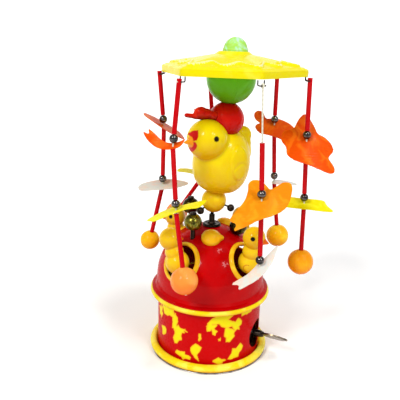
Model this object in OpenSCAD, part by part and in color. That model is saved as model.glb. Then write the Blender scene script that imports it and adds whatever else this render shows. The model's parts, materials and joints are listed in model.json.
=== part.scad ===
// Wind-up celluloid carousel on a tin drum: a chick, balls and a hexagonal canopy turn on a wire spindle,
// and six hanging strands of tubes, beads and spinning vanes swing around it.
// Millimetres. Origin at the centre of the base's underside, +Z up, -Y is the front.

/* [Tin drum] */
// Radius of the drum wall
drum_r = 43; // [36:0.5:50]
// Height of the top of the drum wall
drum_h = 55; // [45:0.5:65]
// Thickness of the drum's tin
drum_t = 0.6; // [0.4:0.1:1]
// Outer radius of the steel floor plate
plate_r = 48.6; // [44:0.1:52]
// Thickness of the floor plate
plate_t = 0.9; // [0.6:0.1:1.5]
// Section radius of the rolled bottom ring
base_roll_r = 3.15; // [2:0.05:4]
// Section radius of the rolled top ring
top_roll_r = 2.3; // [1.5:0.05:3]

/* [Dome and nests] */
// Radius of the dome
dome_r = 44; // [38:0.5:50]
// Height of the dome's centre
dome_z = 64.5; // [60:0.5:72]
// Thickness of the dome's tin
dome_t = 0.7; // [0.5:0.1:1]
// Turn of the first nest, seen from above
nest_turn = 229; // [180:1:269]
// Tilt of a nest's axis above level
nest_tilt = 31; // [15:1:40]
// Outer radius of a nest ring
nest_ring_r = 16.9; // [12:0.1:18]
// Radius of the hole in a nest ring
nest_hole_r = 13.5; // [10:0.1:15]
// Radius of a nest chick's head
nest_head_r = 8; // [6:0.1:9]
// Radius of a nest chick's body
nest_body_r = 7.8; // [6:0.1:9]
// Radius of the yellow buttons on the dome
button_r = 7.8; // [5:0.1:9]

/* [Bells] */
// Radius of a bell
bell_r = 7; // [5:0.1:8]
// Thickness of a bell's wall
bell_t = 1.6; // [0.8:0.1:2]
// Radius of a bell's post
bell_post_r = 1.8; // [1:0.1:2]

/* [Stack] */
// Lean of the upper spindle wire
lean = 5.95; // [0:0.05:8]
// Height of the bend in the spindle wire
bend_z = 118.3; // [116:0.1:122]
// Radius of the spindle wire
wire_r = 1.25; // [0.8:0.05:1.6]
// Radius of the small yellow ball
neck_ball_r = 10; // [7:0.1:12]
// Height of the small yellow ball's centre
neck_ball_z = 129.2; // [128:0.1:136]
// Width of the chick's body
chick_w = 45.4; // [36:0.2:50]
// Height of the chick's body
chick_h = 51.5; // [42:0.5:56]
// Radius of the chick's head
head_r = 15.8; // [12:0.1:18]
// Radius of the red ball
red_ball_r = 12.9; // [10:0.1:15]
// Height of the red ball's centre
red_ball_z = 194.4; // [190:0.1:200]
// Radius of the green ball
green_ball_r = 18.2; // [14:0.1:20]

/* [Canopy] */
// Distance from the canopy's centre to a corner
canopy_r = 56; // [50:0.5:60]
// Height of the canopy's lower edge
canopy_z = 228.3; // [226:0.1:234]
// Height of the canopy's side band
canopy_band = 5.2; // [3:0.1:8]
// Rise of the sloped roof
canopy_rise = 9.6; // [6:0.1:14]
// Thickness of the canopy
canopy_t = 1; // [0.8:0.1:2]
// Turn of the canopy's first corner
canopy_turn = -12.4; // [-30:0.1:30]
// Radius of the finial
finial_r = 9.2; // [6:0.1:12]

/* [Strands] */
// Distance from the canopy's centre to a strand's hook
hook_r = 57; // [54:0.5:60]
// Outer radius of the red tubes
tube_r = 1.6; // [1.2:0.05:2]
// Radius of the core wire
core_r = 0.6; // [0.4:0.05:0.7]
// Radius of the steel beads
bead_r = 3.2; // [2.5:0.1:4]
// Radius of the end balls
end_ball_r = 10.4; // [8:0.1:11]
// Thickness of a vane
vane_t = 0.6; // [0.4:0.1:1]
// Radius of the curve that a vane is pressed to
vane_curve = 34; // [20:1:60]

/* [Clockwork] */
// Turn of the key, seen from above
key_turn = -24; // [-60:1:60]
// Height of the winding arbor
arbor_z = 20.5; // [18:0.5:24]
// Radius of the winding arbor
arbor_r = 1.6; // [1.2:0.1:2]
// Teeth of the great wheel
great_teeth = 40; // [30:1:50]
// Teeth of the second arbor's pinion
second_teeth = 10; // [8:1:14]
// Teeth of the crown wheel
crown_teeth = 24; // [20:1:30]
// Teeth of the spindle pinion
pinion_teeth = 8; // [8:1:12]
// Tooth pitch of the great wheel
great_pitch = 2.01; // [1.6:0.01:2.4]
// Tooth pitch of the crown wheel
crown_pitch = 2.906; // [2.4:0.001:3.2]

/* [Hidden] */
$fn = 48;
// running clearance of a shaft in its bearing, on the radius
run_fit = 0.05;
// clearance between pieces that only stand near each other
gap = 0.3;
second_r = 1;
great_pr = great_teeth * great_pitch / (2 * PI);
second_pr = second_teeth * great_pitch / (2 * PI);
second_z = arbor_z + great_pr + second_pr;
crown_pr = crown_teeth * crown_pitch / (2 * PI);
pinion_pr = pinion_teeth * crown_pitch / (2 * PI);
pinion_z = second_z + crown_pr;
foot_z = second_z + 3;
base_roll_x = drum_r + 0.15 + base_roll_r;
base_roll_z = plate_t + base_roll_r;
top_roll_x = drum_r + 1.6 + top_roll_r;
dome_foot = drum_h + 0.3;
top_roll_z = dome_foot - top_roll_r;
apex_z = dome_z + dome_r;
bush_top = bend_z - 0.8;
chick_z = neck_ball_z + 7.5;
head_pos = [-5.5, -12, 180.6];
face_turn = 220;
green_ball_z = red_ball_z + (red_ball_r + green_ball_r + gap) * cos(lean);
boss_r = 10.5;
roof_z = canopy_z + canopy_band;
boss_z = roof_z + canopy_rise;
finial_z = boss_z + 2.8;
canopy_x = (boss_z - 8 - bend_z) * tan(lean);
hook_z = canopy_z - 2.3;
wire_top = finial_z + 5;
bells_at = [[-15, -16, 115.7], [-17.5, 16.4, 118.5], [21, -6, 109.5]];
blacks = [0.1, 0.1, 0.1];
yellow = [0.96, 0.82, 0.1];
red = [0.8, 0.05, 0.03];
orange = [0.95, 0.45, 0.08];
white = [0.93, 0.92, 0.88];
green = [0.3, 0.65, 0.25];
steel = [0.6, 0.6, 0.62];
brass = [0.62, 0.52, 0.2];

// The corner of the canopy that each strand hangs from, as a turn about the canopy's centre
function corner(i) = canopy_turn + 60 * i;
// The eye of a strand, on its hook's pin
function hook_pos(i) = [canopy_x + hook_r * cos(corner(i)), hook_r * sin(corner(i)), hook_z];

// Each strand: its corner, its upper joint, its lower joint and its end.
a_corner = 4;
a_knee = [-30, -43, 181];
a_ankle = [-27, -46, 134];
a_end = [-20, -55, 84];
b_corner = 3;
b_knee = [-40, 12, 185];
b_ankle = [-41, 14, 136];
b_end = [-52, 22, 85];
c_corner = 5;
c_knee = [33, -56, 146];
c_ankle = [34, -60, 98];
c_end = [33, -60, 90];
d_corner = 1;
d_knee = [51, 43, 182];
d_ankle = [54, 43, 133];
d_end = [60, 43, 84];
e_corner = 0;
e_knee = [69, -12, 180];
e_ankle = [71, -12, 131];
e_end = [72, -12, 83];
f_corner = 2;
f_knee = [-1, 54, 183];
f_ankle = [-8, 54, 134];
f_end = [-31, 57, 98];

// Places children, drawn up +Z from 0, so that they run from point p towards point q
module along(p, q) {
  d = q - p;
  translate(p)
    rotate([0, acos(d[2] / norm(d)), atan2(d[1], d[0])])
      children();
}

// Places children on the leaning part of the spindle, at height z
module on_lean(z) {
  translate([(z - bend_z) * tan(lean), 0, z])
    rotate([0, lean, 0])
      children();
}

// Places children in the clockwork's own frame, with the key's axis along +X
module in_clockwork() {
  rotate([0, 0, key_turn])
    children();
}

// Places children, drawn along +Z from the dome's centre, towards a turn and a tilt
module on_dome(turn, tilt) {
  translate([0, 0, dome_z])
    rotate([0, 90 - tilt, turn])
      children();
}

// A spherical shell about the dome's centre, drawn at the origin
module dome_shell(outer, inner) {
  difference() {
    sphere(r = outer, $fn = 96);
    sphere(r = inner, $fn = 96);
  }
}

// A straight-sided tooth wheel in the XY plane, from z 0 up
module tooth_wheel(teeth, root, tip, width, thick, phase) {
  cylinder(r = root, h = thick);
  for (i = [0 : teeth - 1])
    rotate([0, 0, phase + i * 360 / teeth])
      translate([root - 0.3, -width / 2, 0])
        cube([tip - root + 0.3, width, thick]);
}

module base_plate() {
  color(steel)
    difference() {
      cylinder(r = plate_r, h = plate_t, $fn = 96);
      translate([0, 0, plate_t - 0.4])
        cylinder(r = 6, h = 1);
    }
}

module base_ring() {
  color(yellow)
    rotate_extrude($fn = 96)
      translate([base_roll_x, base_roll_z])
        circle(r = base_roll_r);
}

module drum_wall() {
  color(red)
    difference() {
      translate([0, 0, plate_t])
        cylinder(r = drum_r, h = drum_h - plate_t, $fn = 96);
      cylinder(r = drum_r - drum_t, h = drum_h + 10, $fn = 96);
      in_clockwork()
        translate([drum_r - 10, 0, arbor_z])
          rotate([0, 90, 0])
            cylinder(r = 12, h = 20);
    }
}

module top_ring() {
  color(yellow)
    rotate_extrude($fn = 96) {
      translate([top_roll_x, top_roll_z])
        circle(r = top_roll_r);
      translate([drum_r + 0.1, dome_foot - 0.9])
        square([4, 0.9]);
    }
}

module dome_cover() {
  color(red)
    difference() {
      union() {
        translate([0, 0, dome_z])
          difference() {
            dome_shell(dome_r, dome_r - dome_t);
            translate([-dome_r - 1, -dome_r - 1, -dome_r - 1])
              cube([2 * dome_r + 2, 2 * dome_r + 2, dome_r + 1]);
          }
        rotate_extrude($fn = 96)
          polygon([[dome_r - dome_t, dome_z], [dome_r, dome_z], [dome_r, dome_foot + 4],
            [dome_r + 1.3, dome_foot + 1.9], [dome_r + 4, dome_foot + 0.9], [dome_r + 4, dome_foot],
            [dome_r + 1.1, dome_foot + 1], [dome_r - dome_t, dome_foot + 3.6]]);
      }
      for (i = [0 : 3])
        on_dome(nest_turn + 90 * i, nest_tilt)
          translate([0, 0, 20])
            cylinder(r = nest_hole_r + 0.9, h = 40);
      for (p = bells_at)
        translate([p[0], p[1], apex_z - 16])
          cylinder(r = bell_post_r + run_fit, h = 20);
      translate([0, 0, apex_z - 5])
        cylinder(r = 2.35, h = 10);
    }
}

module nest_rings() {
  color(yellow)
    for (i = [0 : 3])
      on_dome(nest_turn + 90 * i, nest_tilt)
        intersection() {
          dome_shell(dome_r + 1.6, dome_r + 0.02);
          translate([0, 0, 20])
            difference() {
              cylinder(r = nest_ring_r, h = 40);
              translate([0, 0, -1])
                cylinder(r = nest_hole_r, h = 50);
            }
        }
}

module nest_chicks() {
  color(yellow)
    for (i = [0 : 3])
      on_dome(nest_turn + 90 * i, nest_tilt) {
        translate([0.8, 0, 44])
          rotate([0, 0, 90])
            sphere(r = nest_body_r);
        translate([-12.7, 0, 52])
          rotate([0, 0, 90])
            sphere(r = nest_head_r);
        translate([-12.7, 0, 52])
          rotate([-90, 0, -10])
            cylinder(r1 = 3.4, r2 = 0.6, h = nest_head_r + 3.2);
        translate([0, 0, 43.6])
          rotate([0, 90, 0])
            cylinder(r = 1.2, h = nest_hole_r - 0.1);
      }
}

module dome_buttons() {
  color(yellow)
    for (p = [[271, 61.8], [48, 65]])
      on_dome(p[0], p[1])
        intersection() {
          dome_shell(dome_r + 3, dome_r + 0.02);
          cylinder(r = button_r, h = 60);
        }
}

module bells() {
  color(brass)
    for (p = bells_at)
      translate(p)
        difference() {
          sphere(r = bell_r);
          sphere(r = bell_r - bell_t);
          translate([-bell_r - 1, -bell_r - 1, -2 * bell_r - 4])
            cube([2 * bell_r + 2, 2 * bell_r + 2, 2 * bell_r]);
          cylinder(r = bell_post_r + run_fit, h = 20);
        }
}

module bell_posts() {
  color(blacks)
    for (p = bells_at) {
      translate([p[0], p[1], apex_z - 12])
        cylinder(r = bell_post_r, h = p[2] + bell_r - apex_z + 12.1);
      translate([p[0], p[1], p[2] + bell_r])
        cylinder(r = 2.7, h = 1.2);
    }
}

module neck_bush() {
  color(blacks)
    difference() {
      union() {
        translate([0, 0, apex_z - 8])
          cylinder(r = 2.3, h = bush_top - apex_z + 8);
        translate([0, 0, apex_z + 0.1])
          cylinder(r1 = 7.5, r2 = 6.5, h = 1.6);
      }
      translate([0, 0, apex_z - 20])
        cylinder(r = wire_r + run_fit, h = 60);
    }
}

module motor_frame() {
  color(steel)
    in_clockwork() {
      difference() {
        for (x = [-27.5, 14])
          translate([x, -16, plate_t])
            cube([1, 32, second_z + 14 - plate_t]);
        translate([-40, 0, arbor_z])
          rotate([0, 90, 0])
            cylinder(r = arbor_r + run_fit, h = 80);
        translate([-40, 0, second_z])
          rotate([0, 90, 0])
            cylinder(r = second_r + run_fit, h = 80);
      }
      for (y = [-13, 13], z = [6, second_z + 11])
        translate([-26.5, y, z])
          rotate([0, 90, 0])
            cylinder(r = 1.5, h = 40.5);
      difference() {
        translate([-2.6, -3, foot_z - 0.3])
          cube([16.6, 6, 2]);
        translate([0, 0, foot_z])
          cylinder(r = wire_r + run_fit, h = 10);
      }
    }
}

module mainspring() {
  color(steel)
    in_clockwork()
      translate([-24.5, 0, arbor_z])
        rotate([0, 90, 0])
          for (r = [3.4 : 1.6 : 11.4])
            difference() {
              cylinder(r = r + 0.4, h = 8);
              translate([0, 0, -1])
                cylinder(r = r, h = 10);
            }
}

module key_bush() {
  color(blacks)
    in_clockwork()
      translate([36.5, 0, arbor_z])
        rotate([0, 90, 0])
          difference() {
            cylinder(r = 14, h = 1);
            translate([0, 0, -1])
              cylinder(r = arbor_r + run_fit, h = 4);
          }
}

module drive_wire() {
  color(blacks) {
    translate([0, 0, foot_z + 0.1])
      cylinder(r = wire_r, h = bend_z - foot_z - 0.1);
    translate([0, 0, bend_z])
      sphere(r = wire_r + 0.02);
    translate([0, 0, bend_z])
      rotate([0, lean, 0])
        cylinder(r = wire_r, h = (wire_top - bend_z) / cos(lean));
  }
}

module spindle_pinion() {
  color(brass)
    in_clockwork()
      difference() {
        translate([0, 0, pinion_z - 3.5])
          tooth_wheel(pinion_teeth, pinion_pr - 1.3, pinion_pr + 1, 0.7, 7, 180 + 180 / pinion_teeth);
        cylinder(r = wire_r, h = 100);
      }
}

module neck_ball() {
  color(yellow)
    on_lean(neck_ball_z)
      difference() {
        sphere(r = neck_ball_r);
        translate([0, 0, -20])
          cylinder(r = wire_r + run_fit, h = 40);
      }
}

module strikers() {
  c = [(neck_ball_z - bend_z) * tan(lean), 0, neck_ball_z];
  color(blacks)
    for (p = [[14.5, -5, 124.6], [-9.4, -5.4, 121.7]])
      difference() {
        union() {
          translate(p)
            sphere(r = 3);
          along(c, p)
            cylinder(r = 0.7, h = norm(p - c));
        }
        translate(c)
          sphere(r = neck_ball_r + 0.02);
      }
}

module chick() {
  w = chick_w / 2;
  h = chick_h;
  color(yellow)
    difference() {
      union() {
        translate([1.4, 1.2, 0])
          on_lean(chick_z)
            rotate_extrude($fn = 72)
              polygon([[0, 0], [w * 0.35, h * 0.01], [w * 0.62, h * 0.07], [w * 0.84, h * 0.18],
                [w * 0.97, h * 0.33], [w, h * 0.48], [w * 0.97, h * 0.64], [w * 0.86, h * 0.78],
                [w * 0.66, h * 0.89], [w * 0.37, h * 0.97], [0, h]]);
        translate(head_pos)
          sphere(r = head_r, $fn = 72);
        translate([17, 9.5, 176])
          sphere(r = 10.5);
        translate([21, 11, 183])
          sphere(r = 6);
        translate(head_pos)
          rotate([0, 96, face_turn])
            cylinder(r1 = 8, r2 = 1.2, h = head_r + 4.6);
      }
      on_lean(neck_ball_z)
        sphere(r = neck_ball_r + 0.1);
      on_lean(red_ball_z)
        sphere(r = red_ball_r + 0.1);
      translate([0, 0, bend_z])
        rotate([0, lean, 0])
          cylinder(r = wire_r + run_fit, h = 200);
    }
}

module chick_comb() {
  color(red)
    difference() {
      translate(head_pos + [0, 0, head_r + 1.2])
        rotate([0, 8, face_turn - 15])
          linear_extrude(1)
            union() {
              translate([3, 3])
                circle(r = 7);
              translate([-3, -4])
                circle(r = 6);
              translate([6, -3])
                circle(r = 5.5);
              translate([6, -2])
                square([11, 3.4]);
              translate([17, -0.3])
                circle(r = 1.7);
            }
      on_lean(red_ball_z)
        sphere(r = red_ball_r + 0.1);
      translate(head_pos)
        sphere(r = head_r + 0.1, $fn = 72);
    }
}

module red_ball() {
  color(red)
    on_lean(red_ball_z)
      difference() {
        sphere(r = red_ball_r);
        translate([0, 0, -20])
          cylinder(r = wire_r + run_fit, h = 40);
      }
}

module green_ball() {
  color(green)
    on_lean(green_ball_z)
      difference() {
        sphere(r = green_ball_r);
        translate([0, 0, -30])
          cylinder(r = wire_r + run_fit, h = 60);
      }
}

module canopy() {
  color(yellow)
    translate([canopy_x, 0, 0])
      rotate([0, 0, canopy_turn])
        difference() {
          union() {
            translate([0, 0, canopy_z])
              cylinder(r = canopy_r, h = canopy_band, $fn = 6);
            translate([0, 0, roof_z])
              cylinder(r1 = canopy_r, r2 = boss_r, h = canopy_rise, $fn = 6);
            translate([0, 0, roof_z + 4])
              cylinder(r = boss_r, h = finial_z - roof_z - 4);
          }
          translate([0, 0, canopy_z - 1])
            cylinder(r = canopy_r - canopy_t, h = canopy_band + 1, $fn = 6);
          translate([0, 0, roof_z - canopy_t])
            cylinder(r1 = canopy_r - canopy_t, r2 = boss_r - canopy_t, h = canopy_rise, $fn = 6);
          translate([0, 0, roof_z + 2])
            cylinder(r = boss_r - canopy_t, h = canopy_rise);
          translate([0, 0, roof_z])
            cylinder(r = 2.4, h = 30);
        }
}

module canopy_hooks() {
  color(blacks)
    for (i = [0 : 5])
      translate([canopy_x, 0, 0])
        rotate([0, 0, corner(i)]) {
          for (y = [-2.3, 2.3]) {
            translate([canopy_r - 2.4, y, hook_z])
              cylinder(r = 0.5, h = canopy_z - hook_z);
            translate([canopy_r - 2.4, y, hook_z])
              rotate([0, 90, 0])
                cylinder(r = 0.5, h = hook_r - canopy_r + 2.9);
            translate([canopy_r - 2.4, y, hook_z])
              sphere(r = 0.5);
          }
          translate([hook_r, -2.8, hook_z])
            rotate([-90, 0, 0])
              cylinder(r = 0.5, h = 5.6);
        }
}

module finial() {
  color(green)
    translate([(finial_z - bend_z) * tan(lean), 0, finial_z])
      difference() {
        sphere(r = finial_r);
        translate([-15, -15, -30])
          cube([30, 30, 30]);
        translate([0, 0, -1])
          rotate([0, lean, 0])
            cylinder(r = wire_r + 0.2, h = 6.6);
      }
}

module winding_arbor() {
  color(steel)
    in_clockwork()
      translate([-30, 0, arbor_z])
        rotate([0, 90, 0])
          cylinder(r = arbor_r, h = 76);
}

module winding_key() {
  color(steel)
    in_clockwork()
      translate([0, 0, arbor_z])
        rotate([58, 0, 0]) {
          difference() {
            translate([40.5, 0, 0])
              rotate([0, 90, 0])
                cylinder(r = 2.9, h = 9);
            translate([30, 0, 0])
              rotate([0, 90, 0])
                cylinder(r = arbor_r, h = 16);
          }
          translate([0, -0.7, 0])
            rotate([90, 0, 0])
              translate([0, 0, -1.4])
                linear_extrude(1.4)
                  polygon([[48.5, -2.6], [51, -9], [57, -11.5], [64, -10], [66.5, -6], [66.5, -2.5],
                    [69.5, -2.5], [69.5, 2.5], [66.5, 2.5], [66.5, 6], [64, 10], [57, 11.5], [51, 9],
                    [48.5, 2.6]]);
        }
}

module great_wheel() {
  color(brass)
    in_clockwork()
      translate([-13, 0, arbor_z])
        rotate([0, 90, 0])
          difference() {
            tooth_wheel(great_teeth, great_pr - 0.85, great_pr + 0.65, 0.6, 1.5, 0);
            translate([0, 0, -1])
              cylinder(r = arbor_r, h = 5);
            for (i = [0 : 4])
              rotate([0, 0, 36 + 72 * i])
                translate([7, 0, -1])
                  cylinder(r = 2.6, h = 5);
          }
}

module second_arbor() {
  color(steel)
    in_clockwork()
      translate([0, 0, second_z])
        rotate([0, 90, 0]) {
          translate([0, 0, -29])
            cylinder(r = second_r, h = 46);
          translate([0, 0, -14])
            tooth_wheel(second_teeth, second_pr - 0.8, second_pr + 0.65, 0.6, 3.5, 180 / second_teeth);
        }
}

module crown_wheel() {
  color(brass)
    in_clockwork()
      translate([0, 0, second_z])
        rotate([0, 90, 0])
          difference() {
            union() {
              translate([0, 0, -8.2])
                cylinder(r = crown_pr + 1.3, h = 1.2);
              translate([0, 0, -10])
                cylinder(r = 3, h = 2.5);
              for (i = [0 : crown_teeth - 1])
                rotate([0, 0, 180 + i * 360 / crown_teeth])
                  translate([crown_pr - 1, -0.35, -7.3])
                    cube([2, 0.7, 4.1]);
            }
            translate([0, 0, -12])
              cylinder(r = second_r, h = 12);
            for (i = [0 : 4])
              rotate([0, 0, 72 * i])
                translate([6.2, 0, -10])
                  cylinder(r = 2.2, h = 6);
          }
}

// A core wire with its red tube, drawn up +Z from 0 to length
module tube_on_core(length, tube_from, tube_to, core_from, core_to) {
  translate([0, 0, core_from])
    cylinder(r = core_r, h = core_to - core_from, $fn = 24);
  if (tube_to > tube_from)
    translate([0, 0, tube_from])
      difference() {
        cylinder(r = tube_r, h = tube_to - tube_from, $fn = 24);
        translate([0, 0, -1])
          cylinder(r = core_r + 0.1, h = length, $fn = 24);
      }
}

// A bored ball with its centre at height z
module bored_ball(radius, z) {
  translate([0, 0, z])
    difference() {
      sphere(r = radius);
      translate([0, 0, -radius - 1])
        cylinder(r = core_r + 0.1, h = 2 * radius + 2, $fn = 24);
    }
}

// A barrel knot across the end of a link, on the hinge axis of the next one
module barrel_knot(i, at) {
  translate(at)
    rotate([0, 0, corner(i)])
      rotate([90, 0, 0])
        translate([0, 0, -0.6])
          cylinder(r = 0.7, h = 1.2, $fn = 24);
}

// The top link of a strand: an eye on the hook's pin, the core wire, a tube and a bead
module upper_link(i, knee, tube_from) {
  p = hook_pos(i);
  l = norm(knee - p);
  color(red) {
    translate(p)
      rotate([0, 0, corner(i)])
        rotate([90, 0, 0])
          translate([0, 0, -0.8])
            difference() {
              cylinder(r = 1.9, h = 1.6, $fn = 24);
              translate([0, 0, -1])
                cylinder(r = 0.95, h = 4, $fn = 24);
            }
    along(p, knee) {
      tube_on_core(l, tube_from, l - 9.4, 1.4, l - 0.2);
      bored_ball(bead_r, l - 6);
    }
    barrel_knot(i, knee);
  }
}

// A link between two joints: the core wire, a tube and a bead
module middle_link(i, knee, ankle) {
  l = norm(ankle - knee);
  color(red) {
    along(knee, ankle) {
      tube_on_core(l, 1.2, l - 9.4, 1, l - 0.2);
      bored_ball(bead_r, l - 6);
    }
    barrel_knot(i, ankle);
  }
}

// The last link: the core wire, a tube and the end ball
module drop(ankle, end, radius) {
  l = norm(end - ankle);
  color(orange)
    along(ankle, end) {
      tube_on_core(l, 1.2, l - radius - 0.1, 1, l + radius - 1);
      bored_ball(radius, l);
    }
}

// A pressed vane below a bead. It lies across its link, turned about it, and tipped by tilt.
module vane(from, to, turn, tilt, cup) {
  l = norm(to - from);
  along(from, to)
    translate([0, 0, l - 1.4])
      rotate([180, 0, turn])
        rotate([0, tilt, 0])
          difference() {
            intersection() {
              translate([0, 0, -15])
                linear_extrude(40)
                  children();
              translate([0, 30, cup * vane_curve])
                rotate([90, 0, 0])
                  difference() {
                    cylinder(r = vane_curve + vane_t / 2, h = 60, $fn = 96);
                    translate([0, 0, -1])
                      cylinder(r = vane_curve - vane_t / 2, h = 62, $fn = 96);
                  }
              translate([0, 0, cup * 14 - 15])
                translate([-30, -30, 0])
                  cube([60, 60, 30]);
            }
            translate([0, 0, -20])
              cylinder(r = core_r + 0.6, h = 40, $fn = 24);
          }
}

// A swallow-shaped vane: two round wings ahead, and a long forked tail behind along +X
module swallow(tail, wing) {
  difference() {
    union() {
      polygon([[-3, -4.5], [3, -5.2], [tail * 0.55, -6.6], [tail, -5], [tail, 5], [tail * 0.55, 6.6],
        [3, 5.2], [-3, 4.5]]);
      for (s = [-1, 1])
        rotate(180 + s * 48)
          translate([wing * 0.58, 0])
            circle(r = wing * 0.42);
      circle(r = 6);
    }
    polygon([[tail - 6, 0], [tail + 1, -2.2], [tail + 1, 2.2]]);
  }
}

// A leaf-shaped vane: a pointed end along -X and a forked end along +X
module leaf(half) {
  difference() {
    polygon([[-half, 0], [-half * 0.7, -3.6], [-half * 0.3, -6.2], [half * 0.3, -7], [half * 0.75, -6.4],
      [half, -4.4], [half, 4.4], [half * 0.75, 6.4], [half * 0.3, 7], [-half * 0.3, 6.2],
      [-half * 0.7, 3.6]]);
    polygon([[half - 6, 0], [half + 1, -2.4], [half + 1, 2.4]]);
  }
}

module a_upper_link() upper_link(a_corner, a_knee, 3);
module a_upper_vane() color(orange) vane(hook_pos(a_corner), a_knee, 176, 0, -1) swallow(21, 14);
module a_middle_link() middle_link(a_corner, a_knee, a_ankle);
module a_lower_vane() color(yellow) vane(a_knee, a_ankle, 178, 18, 1) leaf(24);
module a_drop() drop(a_ankle, a_end, end_ball_r);

module b_upper_link() upper_link(b_corner, b_knee, 3);
module b_upper_vane() color(orange) vane(hook_pos(b_corner), b_knee, 20, -26, -1) swallow(21, 14);
module b_middle_link() middle_link(b_corner, b_knee, b_ankle);
module b_lower_vane() color(white) vane(b_knee, b_ankle, 176, 4, 1) leaf(23);
module b_drop() drop(b_ankle, b_end, end_ball_r - 2.1);

module c_upper_link() upper_link(c_corner, c_knee, 38);
module c_upper_vane() color(orange) vane(hook_pos(c_corner), c_knee, 150, 28, 1) swallow(25, 18);
module c_middle_link() middle_link(c_corner, c_knee, c_ankle);
module c_lower_vane() color(white) vane(c_knee, c_ankle, 170, 30, 1) leaf(23);
module c_drop() {
  l = norm(c_end - c_ankle);
  color(orange)
    along(c_ankle, c_end) {
      tube_on_core(l, 0, 0, 1, l);
      translate([0, 0, l])
        sphere(r = 1.1);
    }
}

module d_upper_link() upper_link(d_corner, d_knee, 3);
module d_upper_vane() color(orange) vane(hook_pos(d_corner), d_knee, 10, 0, 1) swallow(22, 19);
module d_middle_link() middle_link(d_corner, d_knee, d_ankle);
module d_lower_vane() color(white) vane(d_knee, d_ankle, 8, 0, -1) leaf(24);
module d_drop() drop(d_ankle, d_end, end_ball_r - 0.4);

module e_upper_link() upper_link(e_corner, e_knee, 3);
module e_upper_vane() color(orange) vane(hook_pos(e_corner), e_knee, 300, 30, 1) swallow(23, 19);
module e_middle_link() middle_link(e_corner, e_knee, e_ankle);
module e_lower_vane() color(yellow) vane(e_knee, e_ankle, 4, 0, -1) leaf(25);
module e_drop() drop(e_ankle, e_end, end_ball_r);

module f_upper_link() upper_link(f_corner, f_knee, 3);
module f_upper_vane() color(orange) vane(hook_pos(f_corner), f_knee, 80, 0, 1) swallow(21, 17);
module f_middle_link() middle_link(f_corner, f_knee, f_ankle);
module f_lower_vane() color(yellow) vane(f_knee, f_ankle, 200, 10, 1) leaf(24);
module f_drop() drop(f_ankle, f_end, end_ball_r - 0.4);

base_plate();
base_ring();
drum_wall();
top_ring();
dome_cover();
nest_rings();
nest_chicks();
dome_buttons();
bells();
bell_posts();
neck_bush();
motor_frame();
mainspring();
key_bush();
drive_wire();
spindle_pinion();
neck_ball();
strikers();
chick();
chick_comb();
red_ball();
green_ball();
canopy();
canopy_hooks();
finial();
winding_arbor();
winding_key();
great_wheel();
second_arbor();
crown_wheel();
a_upper_link();
a_upper_vane();
a_middle_link();
a_lower_vane();
a_drop();
b_upper_link();
b_upper_vane();
b_middle_link();
b_lower_vane();
b_drop();
c_upper_link();
c_upper_vane();
c_middle_link();
c_lower_vane();
c_drop();
d_upper_link();
d_upper_vane();
d_middle_link();
d_lower_vane();
d_drop();
e_upper_link();
e_upper_vane();
e_middle_link();
e_lower_vane();
e_drop();
f_upper_link();
f_upper_vane();
f_middle_link();
f_lower_vane();
f_drop();
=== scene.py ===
# %% [markdown]
# # Wind-up chicken carousel
# A tin and celluloid clockwork toy: a red drum and dome hold the spring motor, and a wire spindle turns
# a yellow chick, three balls, a six-sided canopy and six hanging strands of vanes and balls.
# The moving frame comes ready made, so every piece below is built in its final place and then rides on
# one of the frame's bodies.

# %% Load the frame
import json
import random
from math import atan2, cos, degrees, hypot, pi, radians, sin, sqrt

import bmesh
import bpy
from mathutils import Matrix, Vector, noise


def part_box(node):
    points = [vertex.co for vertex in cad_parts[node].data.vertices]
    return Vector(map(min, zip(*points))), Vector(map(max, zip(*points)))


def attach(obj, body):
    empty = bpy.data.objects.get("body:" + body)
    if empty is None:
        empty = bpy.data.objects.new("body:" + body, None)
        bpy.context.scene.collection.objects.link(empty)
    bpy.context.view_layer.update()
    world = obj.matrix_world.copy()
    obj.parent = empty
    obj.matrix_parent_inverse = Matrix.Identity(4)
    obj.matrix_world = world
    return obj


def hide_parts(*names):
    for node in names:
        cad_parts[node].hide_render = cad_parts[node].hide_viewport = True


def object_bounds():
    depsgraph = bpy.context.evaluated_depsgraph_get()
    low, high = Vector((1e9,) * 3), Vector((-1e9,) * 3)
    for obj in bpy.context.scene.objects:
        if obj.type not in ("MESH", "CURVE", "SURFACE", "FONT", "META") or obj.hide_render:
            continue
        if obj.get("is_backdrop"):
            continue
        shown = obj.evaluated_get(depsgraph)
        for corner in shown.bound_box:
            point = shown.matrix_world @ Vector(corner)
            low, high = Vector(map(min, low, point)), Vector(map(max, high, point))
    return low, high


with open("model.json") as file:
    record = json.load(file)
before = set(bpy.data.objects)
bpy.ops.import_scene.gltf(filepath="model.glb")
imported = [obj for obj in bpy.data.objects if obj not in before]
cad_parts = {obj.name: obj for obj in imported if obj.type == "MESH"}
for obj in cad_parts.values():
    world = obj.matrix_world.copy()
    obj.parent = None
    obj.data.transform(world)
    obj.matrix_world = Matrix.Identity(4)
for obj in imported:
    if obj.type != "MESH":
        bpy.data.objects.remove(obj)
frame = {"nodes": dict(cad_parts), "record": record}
cad_box = [list(corner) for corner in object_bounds()]
print("frame loaded,", len(frame["nodes"]), "nodes")

# %% [markdown]
# ## Camera
# The toy stands on a table and is seen a little from above. A 51.5 mm lens on a 36 mm sensor, pitched
# down by 17.7 degrees and rolled by 1.5 degrees, gives that standing view with mild perspective.

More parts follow.
